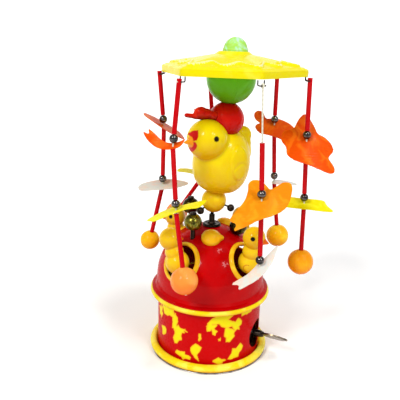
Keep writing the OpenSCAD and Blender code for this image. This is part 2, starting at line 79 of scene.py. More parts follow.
# %% Camera
LENS, PITCH, ROLL = 51.5, 72.3, 1.5
camera_data = bpy.data.cameras.new("Camera")
camera_data.lens = LENS
camera_data.sensor_width = 36
camera = bpy.data.objects.new("Camera", camera_data)
bpy.context.collection.objects.link(camera)
camera.matrix_world = (Matrix.Translation((-0.010, -0.436, 0.268))
                       @ Matrix.Rotation(radians(PITCH), 4, "X")
                       @ Matrix.Rotation(radians(ROLL), 4, "Z"))
bpy.context.scene.camera = camera
print("camera at", tuple(round(v, 3) for v in camera.location))

# %% [markdown]
# ## Floor and light
# A pale floor sheet that curls up far behind the toy gives a plain ground. A wide light from the left
# does most of the lighting. Two weaker ones, low and high on the right, put two soft highlights on the
# dome. The standard view transform keeps the strong paint colours as they are.

# %% Floor and light
def hex_colour(code):
    """An sRGB hex code as a linear colour with full alpha."""
    parts = [int(code[i:i + 2], 16) / 255 for i in (0, 2, 4)]
    return [p / 12.92 if p <= 0.04045 else ((p + 0.055) / 1.055) ** 2.4 for p in parts] + [1.0]


def add(tree, kind, inputs=None, **settings):
    """Adds a node, sets its settings, and sets or links its inputs."""
    node = tree.nodes.new(kind)
    for key, value in settings.items():
        setattr(node, key, value)
    for key, value in (inputs or {}).items():
        if isinstance(value, bpy.types.NodeSocket):
            tree.links.new(value, node.inputs[key])
        else:
            node.inputs[key].default_value = value
    return node


def soft_sun(name, turn, height, power, softness, colour):
    """Wide even light from a direction: turn from the front and height, in degrees."""
    data = bpy.data.lights.new(name, "SUN")
    data.angle = radians(softness)
    data.energy = power
    data.color = hex_colour(colour)[:3]
    lamp = bpy.data.objects.new(name, data)
    bpy.context.collection.objects.link(lamp)
    lamp.rotation_euler = (radians(90 - height), 0, radians(turn))


soft_sun("left_light", -38, 42, 1.7, 16, "fffdf8")
soft_sun("right_light", 40, 40, 0.8, 12, "fafcff")
soft_sun("top_light", 52, 68, 0.7, 12, "ffffff")

world = bpy.data.worlds.new("studio")
bpy.context.scene.world = world
world.use_nodes = True
backdrop = world.node_tree.nodes["Background"]
backdrop.inputs["Color"].default_value = hex_colour("f7f7f7")
backdrop.inputs["Strength"].default_value = 0.5
bpy.context.scene.view_settings.view_transform = "Standard"

# %% [markdown]
# The floor is one grid, bent upward behind the toy by a quarter of a large circle, so that no
# horizon line shows. Its two measures are in metres.

# %% Floor sheet
FLAT_BACK, CURL_R = 0.5, 0.6
floor = bmesh.new()
bmesh.ops.create_grid(floor, x_segments=60, y_segments=60, size=1.6)
for v in floor.verts:
    back = v.co.y - FLAT_BACK
    if back > 0:
        bend = min(back / CURL_R, pi / 2)
        rest = max(back - CURL_R * pi / 2, 0)
        v.co.y = FLAT_BACK + CURL_R * sin(bend)
        v.co.z = CURL_R * (1 - cos(bend)) + rest
for f in floor.faces:
    f.smooth = True
floor_mesh = bpy.data.meshes.new("floor")
floor.to_mesh(floor_mesh)
floor.free()
floor_object = bpy.data.objects.new("floor", floor_mesh)
bpy.context.collection.objects.link(floor_object)
paper = bpy.data.materials.new("pale_paper_sheet")
paper.use_nodes = True
grain = add(paper.node_tree, "ShaderNodeTexNoise", {"Scale": 60.0, "Detail": 4.0})
tint = add(paper.node_tree, "ShaderNodeMix", {0: grain.outputs[0], 6: hex_colour("fcfcfc"),
                                              7: hex_colour("ffffff")}, data_type="RGBA")
paper_shader = paper.node_tree.nodes["Principled BSDF"]
paper.node_tree.links.new(tint.outputs[2], paper_shader.inputs["Base Color"])
paper_shader.inputs["Roughness"].default_value = 0.9
floor_mesh.materials.append(paper)
floor_object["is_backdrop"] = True
print("floor", len(floor_mesh.polygons), "faces")

# %% [markdown]
# ## Finishes
# Each finish starts as a plain plastic or metal shader. `start_finish` makes the material and sets the
# values that are the same all over. The colour, the roughness and the fine relief are then wired in
# from noise whose scale is worked out from a real size in millimetres: one pattern cell is about one
# divided by the scale, in metres.

# %% Starting a finish
MM = 0.001


def start_finish(name, **sockets):
    """A new material with the given constant shader values. Returns material, tree and shader."""
    material = bpy.data.materials.new(name)
    material.use_nodes = True
    tree = material.node_tree
    shader = tree.nodes["Principled BSDF"]
    for key, value in sockets.items():
        shader.inputs[key.replace("_", " ")].default_value = value
    return material, tree, shader


def per_mm(size_mm):
    """The noise scale whose cells are about size_mm across."""
    return 1 / (size_mm * MM)


def wire_in(tree, shader, colour, rough=None, relief=None, relief_mm=0.05):
    """Links colour, roughness and a height into the shader."""
    tree.links.new(colour, shader.inputs["Base Color"])
    if rough is not None:
        tree.links.new(rough, shader.inputs["Roughness"])
    if relief is not None:
        bump = add(tree, "ShaderNodeBump", {"Height": relief, "Distance": relief_mm * MM, "Strength": 0.5})
        tree.links.new(bump.outputs[0], shader.inputs["Normal"])


# %% [markdown]
# ### Celluloid
# The chick, the balls, the canopy and the vanes are celluloid: thin sheet blown or pressed in a hot
# mould. It is glossy, slightly milky, and its colour drifts in soft clouds where the sheet was thin or
# the lacquer pooled. One recipe serves all of them: a main colour, a cloud colour, a darker painted
# shade on the parts that face down, and a little light scattered inside. The specular level is kept low,
# because the worn sheet mirrors little of its surroundings; a thin coat carries the highlight instead.

# %% Celluloid
def celluloid(name, main, cloud, shade, cloud_mm=9, gloss=0.2, milky=0.15, cloudy=(0.42, 0.66), coat=0.1):
    """Moulded celluloid with pearly clouds and a painted shade on the parts that face down."""
    material, tree, shader = start_finish(
        name, IOR=1.5, Specular_IOR_Level=0.05, Subsurface_Weight=milky, Subsurface_Scale=0.004,
        Coat_Weight=coat, Coat_Roughness=0.06)
    place = add(tree, "ShaderNodeTexCoord").outputs["Object"]
    clouds = add(tree, "ShaderNodeTexNoise", {"Vector": place, "Scale": per_mm(cloud_mm), "Detail": 3.0,
                                              "Distortion": 1.2})
    soft = add(tree, "ShaderNodeMapRange", {0: clouds.outputs[0], 1: cloudy[0], 2: cloudy[1]},
               interpolation_type="SMOOTHSTEP")
    mix = add(tree, "ShaderNodeMix", {0: soft.outputs[0], 6: hex_colour(main), 7: hex_colour(cloud)},
              data_type="RGBA")
    # Painted shade: the more a surface faces down, the more its colour turns to the shade colour.
    normal = add(tree, "ShaderNodeNewGeometry").outputs["Normal"]
    facing = add(tree, "ShaderNodeSeparateXYZ", {0: normal})
    low = add(tree, "ShaderNodeMapRange", {0: facing.outputs[2], 1: 0.25, 2: -0.9})
    tone = add(tree, "ShaderNodeMix", {0: low.outputs[0], 6: mix.outputs[2], 7: hex_colour(shade)},
               data_type="RGBA")
    fine = add(tree, "ShaderNodeTexNoise", {"Vector": place, "Scale": per_mm(4), "Detail": 2.0})
    rough = add(tree, "ShaderNodeMapRange", {0: fine.outputs[0], 3: gloss * 0.6, 4: gloss * 1.6})
    wire_in(tree, shader, tone.outputs[2], rough.outputs[0], fine.outputs[0], 0.06)
    return material


# In each entry the third colour is the painted shade for the parts that face down.
FINISH = {
    "orange_vane": celluloid("celluloid_orange_pressed", "de4c04", "ea6c10", "c83c04", 12, 0.3, 0.02,
                             coat=0.02),
    "amber_vane": celluloid("celluloid_amber_pressed", "e8860c", "f09a18", "d87008", 12, 0.3, 0.02,
                            coat=0.02),
    "yellow_vane": celluloid("celluloid_yellow_pressed", "e8dc00", "f0e81c", "ccb808", 10, 0.3, 0.02,
                             coat=0.02),
    "white_vane": celluloid("celluloid_white_pressed", "d2d4cc", "e0cbbc", "bfc4bc", 12, 0.3, 0.15),
    "orange_ball": celluloid("celluloid_orange_blown", "f09a14", "f4b01e", "e8780a", 22, 0.16, 0.2),
    "peach_ball": celluloid("celluloid_peach_blown", "ee8c38", "f2a04c", "e8641c", 24, 0.16, 0.2),
    "amber_ball": celluloid("celluloid_amber_blown", "eeb010", "f2cc28", "e0880a", 16, 0.16, 0.2),
    "red_ball": celluloid("celluloid_red_blown", "d41208", "de1c0c", "8e0a06", 16, 0.12, 0.05),
    "green_ball": celluloid("celluloid_green_blown", "64c414", "70d040", "5a8c0c", 24, 0.2, 0.02),
    "neck_ball": celluloid("celluloid_neck_ball_blown", "ecc414", "f0d420", "d8940c", 12, 0.2, 0.1),
    "pearl_green": celluloid("celluloid_pearl_green", "a6dc5c", "bdeecb", "b4d848", 7, 0.15, 0.2),
    "canopy": celluloid("celluloid_canopy_pressed", "ecdc04", "f0e640", "dcc600", 20, 0.22, 0.1, (0.5, 0.75)),
    # The paler bead finish is a painted highlight along the crest of the canopy's bead.
    "canopy_bead": celluloid("celluloid_canopy_bead_highlight", "f6f09a", "f8f4b4", "ecdc50", 9, 0.2, 0.1),
    "red_comb": celluloid("celluloid_red_pressed", "cc1808", "dc3010", "7c1408", 8, 0.25, 0.1),
    "ring": celluloid("celluloid_ring_amber", "eab414", "f2ca34", "d8880c", 14, 0.22, 0.1),
    "roll": celluloid("celluloid_roll_yellow", "ecd010", "f4e450", "dc8c10", 16, 0.22, 0.15),
}
print(len(FINISH), "celluloid finishes")

# %% [markdown]
# ### Painted celluloid
# The chick's beak, eye and red patches are brushed on after moulding. The mesh carries a painted mask in
# three channels, and the finish mixes the paint colours over the yellow by that mask.

# %% Painted finishes
def painted(name, base, first, second, third, gloss=0.2, milky=0.1):
    """A moulded base colour with a painted shade where it faces down, and three brushed paints held in the mesh's
    own paint mask.
    """
    material, tree, shader = start_finish(
        name, IOR=1.5, Specular_IOR_Level=0.08, Subsurface_Weight=milky, Subsurface_Scale=0.004,
        Coat_Weight=0.15, Coat_Roughness=0.08)
    place = add(tree, "ShaderNodeTexCoord").outputs["Object"]
    clouds = add(tree, "ShaderNodeTexNoise", {"Vector": place, "Scale": per_mm(13), "Detail": 3.0})
    soft = add(tree, "ShaderNodeMapRange", {0: clouds.outputs[0], 1: 0.35, 2: 0.7})
    tone = add(tree, "ShaderNodeMix", {0: soft.outputs[0], 6: hex_colour(base[0]), 7: hex_colour(base[1])},
               data_type="RGBA").outputs[2]
    # Painted shade: where the surface faces down, the colour turns to the third base colour.
    facing = add(tree, "ShaderNodeSeparateXYZ", {0: add(tree, "ShaderNodeNewGeometry").outputs["Normal"]})
    low = add(tree, "ShaderNodeMapRange", {0: facing.outputs[2], 1: 0.3, 2: -0.8})
    tone = add(tree, "ShaderNodeMix", {0: low.outputs[0], 6: tone, 7: hex_colour(base[2])},
               data_type="RGBA").outputs[2]
    mask = add(tree, "ShaderNodeSeparateColor",
               {0: add(tree, "ShaderNodeAttribute", attribute_name="paint").outputs["Color"]})
    brush = add(tree, "ShaderNodeTexNoise", {"Vector": place, "Scale": per_mm(0.9), "Detail": 3.0})
    for channel, paint in enumerate((first, second, third)):
        streak = add(tree, "ShaderNodeMix", {0: brush.outputs[0], 6: hex_colour(paint[0]),
                                             7: hex_colour(paint[1])}, data_type="RGBA")
        tone = add(tree, "ShaderNodeMix", {0: mask.outputs[channel], 6: tone, 7: streak.outputs[2]},
                   data_type="RGBA").outputs[2]
    rough = add(tree, "ShaderNodeMapRange", {0: brush.outputs[0], 3: gloss * 0.6, 4: gloss * 1.6})
    wire_in(tree, shader, tone, rough.outputs[0], brush.outputs[0], 0.05)
    return material


# The third base colour of each chick is its painted shade for the parts that face down.
FINISH["chick"] = painted("celluloid_chick_painted", ("e8cc06", "f0dc0c", "d69c06"),
                          ("f6a21c", "e98a10"), ("d8160c", "b80f08"), ("0c0a08", "1c1410"))
FINISH["nest_chick"] = painted("celluloid_nest_chick_painted", ("e8b810", "ecc81c", "d08c0c"),
                               ("f07818", "e05a10"), ("c8180a", "8c1808"), ("0c0a08", "14100c"), 0.15)
print("painted finishes ready")

# %% [markdown]
# ### Printed and sprayed tin
# The drum is lithographed tinplate: two inks under a clear varnish, so the colour is flat and sharp and
# the gloss is even, with the shallow waviness of rolled sheet. The dome is sprayed enamel, a deeper red
# with orange-peel texture about 2 mm across.

# %% Tin finishes
def printed_tin(name):
    """Red ink with yellow ink patches under varnish; the mask's red channel is ink, green its edge."""
    material, tree, shader = start_finish(
        name, IOR=1.5, Specular_IOR_Level=0.03, Coat_Weight=0.05, Coat_Roughness=0.1)
    place = add(tree, "ShaderNodeTexCoord").outputs["Object"]
    wash = add(tree, "ShaderNodeTexNoise", {"Vector": place, "Scale": per_mm(18), "Detail": 4.0})
    red = add(tree, "ShaderNodeMix", {0: wash.outputs[0], 6: hex_colour("b20004"), 7: hex_colour("ca0406")},
              data_type="RGBA")
    blot = add(tree, "ShaderNodeTexNoise", {"Vector": place, "Scale": per_mm(4), "Detail": 3.0})
    gold = add(tree, "ShaderNodeMix", {0: blot.outputs[0], 6: hex_colour("f0d010"), 7: hex_colour("dce014")},
               data_type="RGBA")
    mask = add(tree, "ShaderNodeSeparateColor",
               {0: add(tree, "ShaderNodeAttribute", attribute_name="paint").outputs["Color"]})
    tone = add(tree, "ShaderNodeMix", {0: mask.outputs[0], 6: red.outputs[2], 7: gold.outputs[2]},
               data_type="RGBA")
    edge = add(tree, "ShaderNodeMix", {0: mask.outputs[1], 6: tone.outputs[2], 7: hex_colour("f0a828")},
               data_type="RGBA")
    scuff = add(tree, "ShaderNodeTexNoise", {"Vector": place, "Scale": per_mm(2.5), "Detail": 8.0})
    rough = add(tree, "ShaderNodeMapRange", {0: scuff.outputs[0], 1: 0.3, 2: 0.7, 3: 0.18, 4: 0.4})
    wire_in(tree, shader, edge.outputs[2], rough.outputs[0], wash.outputs[0], 0.5)
    return material


def enamel(name, light, dark, peel_mm=2.2):
    """Sprayed enamel over tin: clear-coated colour with orange peel and dust nibs."""
    material, tree, shader = start_finish(
        name, IOR=1.5, Specular_IOR_Level=0.02, Coat_Weight=0.14, Coat_Roughness=0.05)
    place = add(tree, "ShaderNodeTexCoord").outputs["Object"]
    wash = add(tree, "ShaderNodeTexNoise", {"Vector": place, "Scale": per_mm(24), "Detail": 4.0})
    tone = add(tree, "ShaderNodeMix", {0: wash.outputs[0], 6: hex_colour(dark), 7: hex_colour(light)},
               data_type="RGBA")
    peel = add(tree, "ShaderNodeTexNoise", {"Vector": place, "Scale": per_mm(peel_mm), "Detail": 2.0})
    scuff = add(tree, "ShaderNodeTexNoise", {"Vector": place, "Scale": per_mm(5), "Detail": 9.0})
    rough = add(tree, "ShaderNodeMapRange", {0: scuff.outputs[0], 1: 0.35, 2: 0.75, 3: 0.16, 4: 0.38})
    wire_in(tree, shader, tone.outputs[2], rough.outputs[0], peel.outputs[0], 0.05)
    return material


FINISH["drum"] = printed_tin("tinplate_lithographed")
FINISH["dome"] = enamel("enamel_red_sprayed", "c60204", "a60004")
FINISH["red_tube"] = enamel("plastic_red_extruded", "cc0410", "ae020a", 1.2)
print("tin finishes ready")

# %% [markdown]
# ### Bare metals
# Brass bells, steel key and clockwork, blackened wire. A metal's colour is its reflection, so the base
# colour is light, the roughness carries the look, and grime darkens it in patches a few millimetres wide.

# %% Metals
def bare_metal(name, clean, grime, rough_low, rough_high, patch_mm=4, brushed=1.0):
    """A metal with darker grime in patches; brushed above 1 stretches the grain along X."""
    material, tree, shader = start_finish(name, Metallic=1.0)
    place = add(tree, "ShaderNodeTexCoord").outputs["Object"]
    grain_place = add(tree, "ShaderNodeMapping", {0: place, 3: (1.0, brushed, brushed)})
    patch = add(tree, "ShaderNodeTexNoise", {"Vector": place, "Scale": per_mm(patch_mm), "Detail": 6.0})
    dirty = add(tree, "ShaderNodeMapRange", {0: patch.outputs[0], 1: 0.45, 2: 0.65})
    tone = add(tree, "ShaderNodeMix", {0: dirty.outputs[0], 6: hex_colour(clean), 7: hex_colour(grime)},
               data_type="RGBA")
    grain = add(tree, "ShaderNodeTexNoise", {"Vector": grain_place.outputs[0], "Scale": per_mm(1.2),
                                             "Detail": 6.0})
    rough = add(tree, "ShaderNodeMapRange", {0: grain.outputs[0], 1: 0.3, 2: 0.7, 3: rough_low,
                                             4: rough_high})
    wire_in(tree, shader, tone.outputs[2], rough.outputs[0], grain.outputs[0], 0.03)
    return material


FINISH["brass"] = bare_metal("brass_pressed_aged", "8e8a38", "3c3a12", 0.15, 0.32)
# A darker copy of the same brass for the rear and right bells: painted shade for the bells that stand in shadow.
FINISH["dark_brass"] = bare_metal("brass_pressed_painted_shade", "4a4420", "1e1a0a", 0.18, 0.36)
FINISH["gear_brass"] = bare_metal("brass_stamped_gear", "c8a848", "7a5c20", 0.25, 0.45, 6, 4.0)
FINISH["steel"] = bare_metal("steel_rolled_tinned", "a8a8a6", "6a6866", 0.3, 0.5, 8, 4.0)
FINISH["key_steel"] = bare_metal("steel_stamped_key", "8a7c68", "2e241c", 0.25, 0.45, 5)
FINISH["black_wire"] = bare_metal("steel_wire_blackened", "3a322c", "14100e", 0.25, 0.45, 3)
FINISH["bead"] = bare_metal("steel_bead_polished_dark", "6e6a68", "3a3636", 0.05, 0.12, 6)
print(len(FINISH), "finishes before the cord")

# %% [markdown]
# ### Cord
# The strands hang on a thin cream cord. Its twist repeats about every 1.2 mm, which a wave pattern along
# the cord draws as slanted strands.

# %% Cord finish
material, tree, shader = start_finish("cord_cotton_twisted", Roughness=0.85)
place = add(tree, "ShaderNodeTexCoord").outputs["Object"]
slant = add(tree, "ShaderNodeMapping", {0: place, 2: (0.6, 0.3, 0.0)})
twist = add(tree, "ShaderNodeTexWave", {"Vector": slant.outputs[0], "Scale": per_mm(1.2) / 6.28,
                                        "Distortion": 0.6}, bands_direction="Z")
tone = add(tree, "ShaderNodeMix", {0: twist.outputs[1], 6: hex_colour("ccc8b0"), 7: hex_colour("dedac6")},
           data_type="RGBA")
wire_in(tree, shader, tone.outputs[2], None, twist.outputs[1], 0.2)
FINISH["cord"] = material
print("cord finish added, now", len(FINISH))

# %% [markdown]
# ## Mesh helpers
# Everything is drawn in millimetres in the toy's own frame and shrunk to metres at the end.
# `place_piece` smooths a shape, keeps folds sharper than 40 degrees crisp, and hands it to the frame.

# %% Mesh helpers
def middle(node):
    """The middle of a node's box, in millimetres."""
    low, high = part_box(node)
    return (low + high) / 2 / MM


def low_high(node):
    """A node's lowest and highest corner, in millimetres."""
    low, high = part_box(node)
    return low / MM, high / MM


def place_piece(name, shape, body, stands_for, finishes, crease=40):
    """Turns a shape drawn in millimetres into a piece that rides on a body."""
    bmesh.ops.remove_doubles(shape, verts=shape.verts, dist=1e-4)
    bmesh.ops.recalc_face_normals(shape, faces=shape.faces)
    for face in shape.faces:
        face.smooth = True
    for edge in shape.edges:
        edge.smooth = len(edge.link_faces) == 2 and edge.calc_face_angle(0) < radians(crease)
    mesh = bpy.data.meshes.new(name)
    shape.to_mesh(mesh)
    shape.free()
    mesh.transform(Matrix.Scale(MM, 4))
    for key in finishes:
        mesh.materials.append(FINISH[key])
    piece = bpy.data.objects.new(name, mesh)
    bpy.context.collection.objects.link(piece)
    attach(piece, body)
    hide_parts(*stands_for)
    return piece


def turned(shape, profile, place=None, steps=96, finish=0, closed=False):
    """Spins a profile of (radius, height) points about Z, like work on a lathe."""
    place = place or Matrix.Identity(4)
    rows = []
    for radius, height in profile:
        if radius < 1e-6:
            rows.append([shape.verts.new(place @ Vector((0, 0, height)))] * steps)
        else:
            rows.append([shape.verts.new(place @ Vector((radius * cos(2 * pi * k / steps),
                                                         radius * sin(2 * pi * k / steps), height)))
                         for k in range(steps)])
    pairs = list(zip(rows, rows[1:])) + ([(rows[-1], rows[0])] if closed else [])
    for lower, upper in pairs:
        for k in range(steps):
            corners = []
            for v in (lower[k], lower[(k + 1) % steps], upper[(k + 1) % steps], upper[k]):
                if v not in corners:
                    corners.append(v)
            if len(corners) > 2:
                shape.faces.new(corners).material_index = finish


def swept(shape, path, radius, sides=12, finish=0):
    """A round wire along a path of points; radius may be a number or one for each point."""
    radii = radius if isinstance(radius, list) else [radius] * len(path)
    rings = []
    side = None
    for i, point in enumerate(path):
        ahead = (Vector(path[min(i + 1, len(path) - 1)]) - Vector(path[max(i - 1, 0)])).normalized()
        if side is None:
            side = ahead.orthogonal().normalized()
        side = (side - ahead * side.dot(ahead)).normalized()
        across = ahead.cross(side)
        rings.append([shape.verts.new(Vector(point) + radii[i] * (side * cos(2 * pi * k / sides)
                                                                  + across * sin(2 * pi * k / sides)))
                      for k in range(sides)])
    for first, second in zip(rings, rings[1:]):
        for k in range(sides):
            shape.faces.new((first[k], first[(k + 1) % sides], second[(k + 1) % sides],
                             second[k])).material_index = finish
    shape.faces.new(rings[0]).material_index = finish
    shape.faces.new(rings[-1]).material_index = finish


def blob(shape, centre, radii, place=None):
    """An egg-like lump to be melted into others."""
    place = place or Matrix.Identity(4)
    made = bmesh.ops.create_uvsphere(shape, u_segments=48, v_segments=32, radius=1)
    grow = place @ Matrix.Translation(centre) @ Matrix.Diagonal((*radii, 1))
    bmesh.ops.transform(shape, matrix=grow, verts=made["verts"])


def melt_together(shape, voxel, rounds):
    """One closed skin over overlapping lumps, softened where they meet, as a mould would have it."""
    mesh = bpy.data.meshes.new("lumps")
    shape.to_mesh(mesh)
    shape.free()
    lumps = bpy.data.objects.new("lumps", mesh)
    bpy.context.collection.objects.link(lumps)
    skin = lumps.modifiers.new("skin", "REMESH")
    skin.mode = "VOXEL"
    skin.voxel_size = voxel
    soften = lumps.modifiers.new("soften", "SMOOTH")
    soften.factor = 0.5
    soften.iterations = rounds
    bpy.context.view_layer.update()
    result = bmesh.new()
    result.from_mesh(lumps.evaluated_get(bpy.context.evaluated_depsgraph_get()).to_mesh())
    bpy.data.objects.remove(lumps)
    return result


def paint(piece, brush):
    """Fills the paint mask: brush(point in mm, normal) gives three amounts from 0 to 1."""
    mask = piece.data.color_attributes.new("paint", "FLOAT_COLOR", "POINT")
    for i, v in enumerate(piece.data.vertices):
        mask.data[i].color = (*brush(v.co / MM, v.normal), 1.0)


def soft_step(value, low, high):
    """0 below low, 1 above high, and a smooth ramp between."""
    t = min(max((value - low) / (high - low), 0), 1)
    return t * t * (3 - 2 * t)


def rounded(points, rounds=2):
    """Cuts the corners of an outline again and again until it is smooth."""
    for _ in range(rounds):
        points = [q for (a, b) in zip(points, points[1:] + points[:1])
                  for q in ((a[0] * 0.78 + b[0] * 0.22, a[1] * 0.78 + b[1] * 0.22),
                            (a[0] * 0.22 + b[0] * 0.78, a[1] * 0.22 + b[1] * 0.78))]
    return points


print("helpers ready")

# %% [markdown]
# ## Base rings
# Two rolled rings grip the drum. Each is a fat bead of yellow sheet rolled over a wire, with a shallow
# crease where the roll closes against the wall. A lathe profile with that crease and a slight waviness
# is closer than a plain torus. The steel floor shows as a thin line under the lower ring.

# %% Rolled rings
def rolled_ring(name, radius, height, roll, seed):
    """A rolled bead with a closing crease on its inner side and slight hand-rolled waviness."""
    shape = bmesh.new()
    profile = []
    for k in range(28):
        turn = 2 * pi * k / 28
        crease = 0.12 * roll * max(0, cos(turn - radians(150))) ** 24
        profile.append((radius + (roll - crease) * cos(turn), height + (roll - crease) * sin(turn)))
    turned(shape, profile, steps=160, closed=True)
    for v in shape.verts:
        around = atan2(v.co.y, v.co.x)
        wave = noise.noise(Vector((cos(around) * 2, sin(around) * 2, seed)))
        v.co.z += 0.12 * wave * (v.co.z > height - 0.2 * roll)
    return place_piece(name + "_roll", shape, "base", [name], ["roll"])


low, high = low_high("base_ring")
base_roll = (high.z - low.z) / 2
rolled_ring("base_ring", high.x - base_roll, (low.z + high.z) / 2, base_roll, 1.0)
print("lower ring", round(high.x * 2, 1), "mm across")

# %% [markdown]
# The upper ring also closes the gap to the drum with a flat flange, on which the dome's foot rests.

# %% Upper ring and floor plate
low, high = low_high("top_ring")
top_roll = 2.3
shape = bmesh.new()
ring_x = high.x - top_roll
ring_z = low.z + top_roll
profile = [(ring_x + top_roll * cos(t), ring_z + top_roll * sin(t))
           for t in [radians(a) for a in range(-210, 91, 12)]]
profile += [(ring_x, high.z), (43.2, high.z), (43.2, high.z - 0.9), (44.6, high.z - 1.0)]
turned(shape, profile, steps=160, closed=True)
place_piece("top_ring_roll", shape, "base", ["top_ring"], ["roll"])

low, high = low_high("base_plate")
shape = bmesh.new()
plate = high.x
turned(shape, [(0, 0.5), (5.6, 0.5), (6, 0.9), (36, 0.9), (37, 0.6), (38, 0.9), (plate - 0.3, 0.9),
               (plate, 0.6), (plate, 0.3), (plate - 0.3, 0), (38.4, 0), (37.6, 0.3), (36.6, 0.3), (36, 0),
               (0, 0)], steps=128)
place_piece("base_plate_pressed", shape, "base", ["base_plate"], ["steel"])
print("floor plate", round(plate * 2, 1), "mm across")

# %% [markdown]
# ## Drum
# The wall is a sheet of printed tin rolled into a cylinder, closed at the back by a folded seam, with a
# round hole for the winding key. It is a fine grid, so that the printed patches can be painted onto its
# points with sharp edges. Each patch is a jagged outline; the front ones are listed as (turn
# from the front in degrees, height, width, tallness in mm), and the back is filled by a seeded scatter.

# %% Printed patches
PATCHES = [(-52, 45, 19, 14), (-40, 38, 5, 17), (-36, 27, 9, 14), (-31, 33, 12, 4), (-58, 24, 9, 13),
           (13, 45, 17, 14), (1, 40, 10, 8), (5, 35, 5, 8), (22, 31, 12, 13), (30, 38, 8, 10),
           (45, 48, 11, 10), (-15, 16, 9, 14), (-30, 10, 12, 6), (12, 8.5, 13, 6), (30, 14, 13, 12),
           (66, 17, 7, 12), (-9.6, 29, 2.4, 7), (11, 28, 2, 2.6), (-66, 38, 8, 12)]
dice = random.Random(7)
for column in range(13):
    for row in (12, 26, 41):
        PATCHES.append((88 + column * 15.5 + dice.uniform(-5, 5), row + dice.uniform(-5, 5),
                        dice.uniform(6, 15), dice.uniform(6, 14)))


def jagged(width, tall, seed):
    """A torn-paper outline about the origin."""
    throw = random.Random(seed)
    count = throw.randint(11, 16)
    outline = []
    for k in range(count):
        turn = 2 * pi * (k + throw.uniform(-0.25, 0.25)) / count
        reach = throw.choice((0.55, 0.75, 0.9, 1.1, 1.35)) + throw.uniform(-0.08, 0.08)
        outline.append((cos(turn) * reach * width / 2, sin(turn) * reach * tall / 2))
    return outline


def inside_by(x, y, outline):
    """How far a point is inside an outline, in mm, or below zero outside."""
    nearest = 1e9
    inside = False
    for (x1, y1), (x2, y2) in zip(outline, outline[1:] + outline[:1]):
        if (y1 > y) != (y2 > y) and x < (x2 - x1) * (y - y1) / (y2 - y1) + x1:
            inside = not inside
        dx, dy = x2 - x1, y2 - y1
        t = min(max(((x - x1) * dx + (y - y1) * dy) / (dx * dx + dy * dy), 0), 1)
        nearest = min(nearest, hypot(x - x1 - t * dx, y - y1 - t * dy))
    return nearest if inside else -nearest


outlines = [jagged(w, t, 100 + i) for i, (a, z, w, t) in enumerate(PATCHES)]
print(len(outlines), "printed patches")

# %% [markdown]
# The grid leaves out the key hole, and the hole's rim points are pulled onto its circle. A second skin
# 0.6 mm inside closes the sheet.

# %% Drum wall
low, high = low_high("drum_wall")
drum_r = high.x
drum_low, drum_high = low.z, high.z
key_low, key_high = low_high("key_bush")
key_turn = atan2(key_low.y + key_high.y, key_low.x + key_high.x)
key_z = (key_low.z + key_high.z) / 2
hole_r = 12.0
SEAM_RAISE, TIN = 0.5, 0.6
columns, rows = 520, 104
shape = bmesh.new()
grid = []
for j in range(rows + 1):
    z = drum_low + (drum_high - drum_low) * j / rows
    ring = []
    for i in range(columns):
        turn = 2 * pi * i / columns
        seam = SEAM_RAISE * soft_step(-abs(drum_r * (turn - pi / 2)), -2.6, -2.2)
        r = drum_r - 0.02 + seam
        ring.append(shape.verts.new((r * cos(turn), r * sin(turn), z)))
    grid.append(ring)


def from_hole(co):
    """The distance from the key hole's axis, and the point pulled onto the hole's rim."""
    x = co.x * cos(key_turn) + co.y * sin(key_turn)
    y = -co.x * sin(key_turn) + co.y * cos(key_turn)
    away = hypot(y, co.z - key_z)
    return (away if x > 0 else 99), y, co.z - key_z


for j in range(rows):
    for i in range(columns):
        nxt = (i + 1) % columns
        corners = [grid[j][i], grid[j][nxt], grid[j + 1][nxt], grid[j + 1][i]]
        if all(from_hole(v.co)[0] > hole_r for v in corners):
            shape.faces.new(corners)
for v in [v for v in shape.verts if not v.link_faces]:
    shape.verts.remove(v)
for v in shape.verts:
    away, y, up = from_hole(v.co)
    if v.is_boundary and away < hole_r + 2:
        y, up = y * hole_r / away, up * hole_r / away
        x = sqrt(drum_r ** 2 - y ** 2)
        v.co = (x * cos(key_turn) - y * sin(key_turn), x * sin(key_turn) + y * cos(key_turn), key_z + up)
bmesh.ops.recalc_face_normals(shape, faces=shape.faces)
if shape.faces[0].normal.dot(shape.faces[0].calc_center_median()) < 0:
    bmesh.ops.reverse_faces(shape, faces=shape.faces)
bmesh.ops.solidify(shape, geom=shape.faces[:], thickness=TIN)
drum = place_piece("drum_wall_printed", shape, "base", ["drum_wall"], ["drum"])


def print_ink(point, normal):
    """The yellow ink and its orange edge at one point of the wall."""
    turn = (degrees(atan2(point.y, point.x)) + 90 + 180) % 360 - 180
    deepest = -9
    for (a, z, w, t), outline in zip(PATCHES, outlines):
        across = radians((turn - a + 180) % 360 - 180) * drum_r
        up = point.z - z
        if abs(across) < w and abs(up) < t:
            deepest = max(deepest, inside_by(across, up, outline))
    ink = soft_step(deepest, -0.15, 0.15)
    return ink, ink * (1 - soft_step(deepest, 0.3, 1.1)) * 0.7, 0


paint(drum, print_ink)
print("drum wall", len(drum.data.polygons), "faces")

# %% [markdown]
# ## Key bush and key
# Behind the key hole sits a dark fibre disc with the arbor through it; that keeps its frame shape. The
# key is stamped from strip steel: a blackened hub pinned on the arbor, and a flat rounded blade. It is
# drawn flat, thickened, and its edges are rounded with a bevel. The blade leans 37 degrees off level.

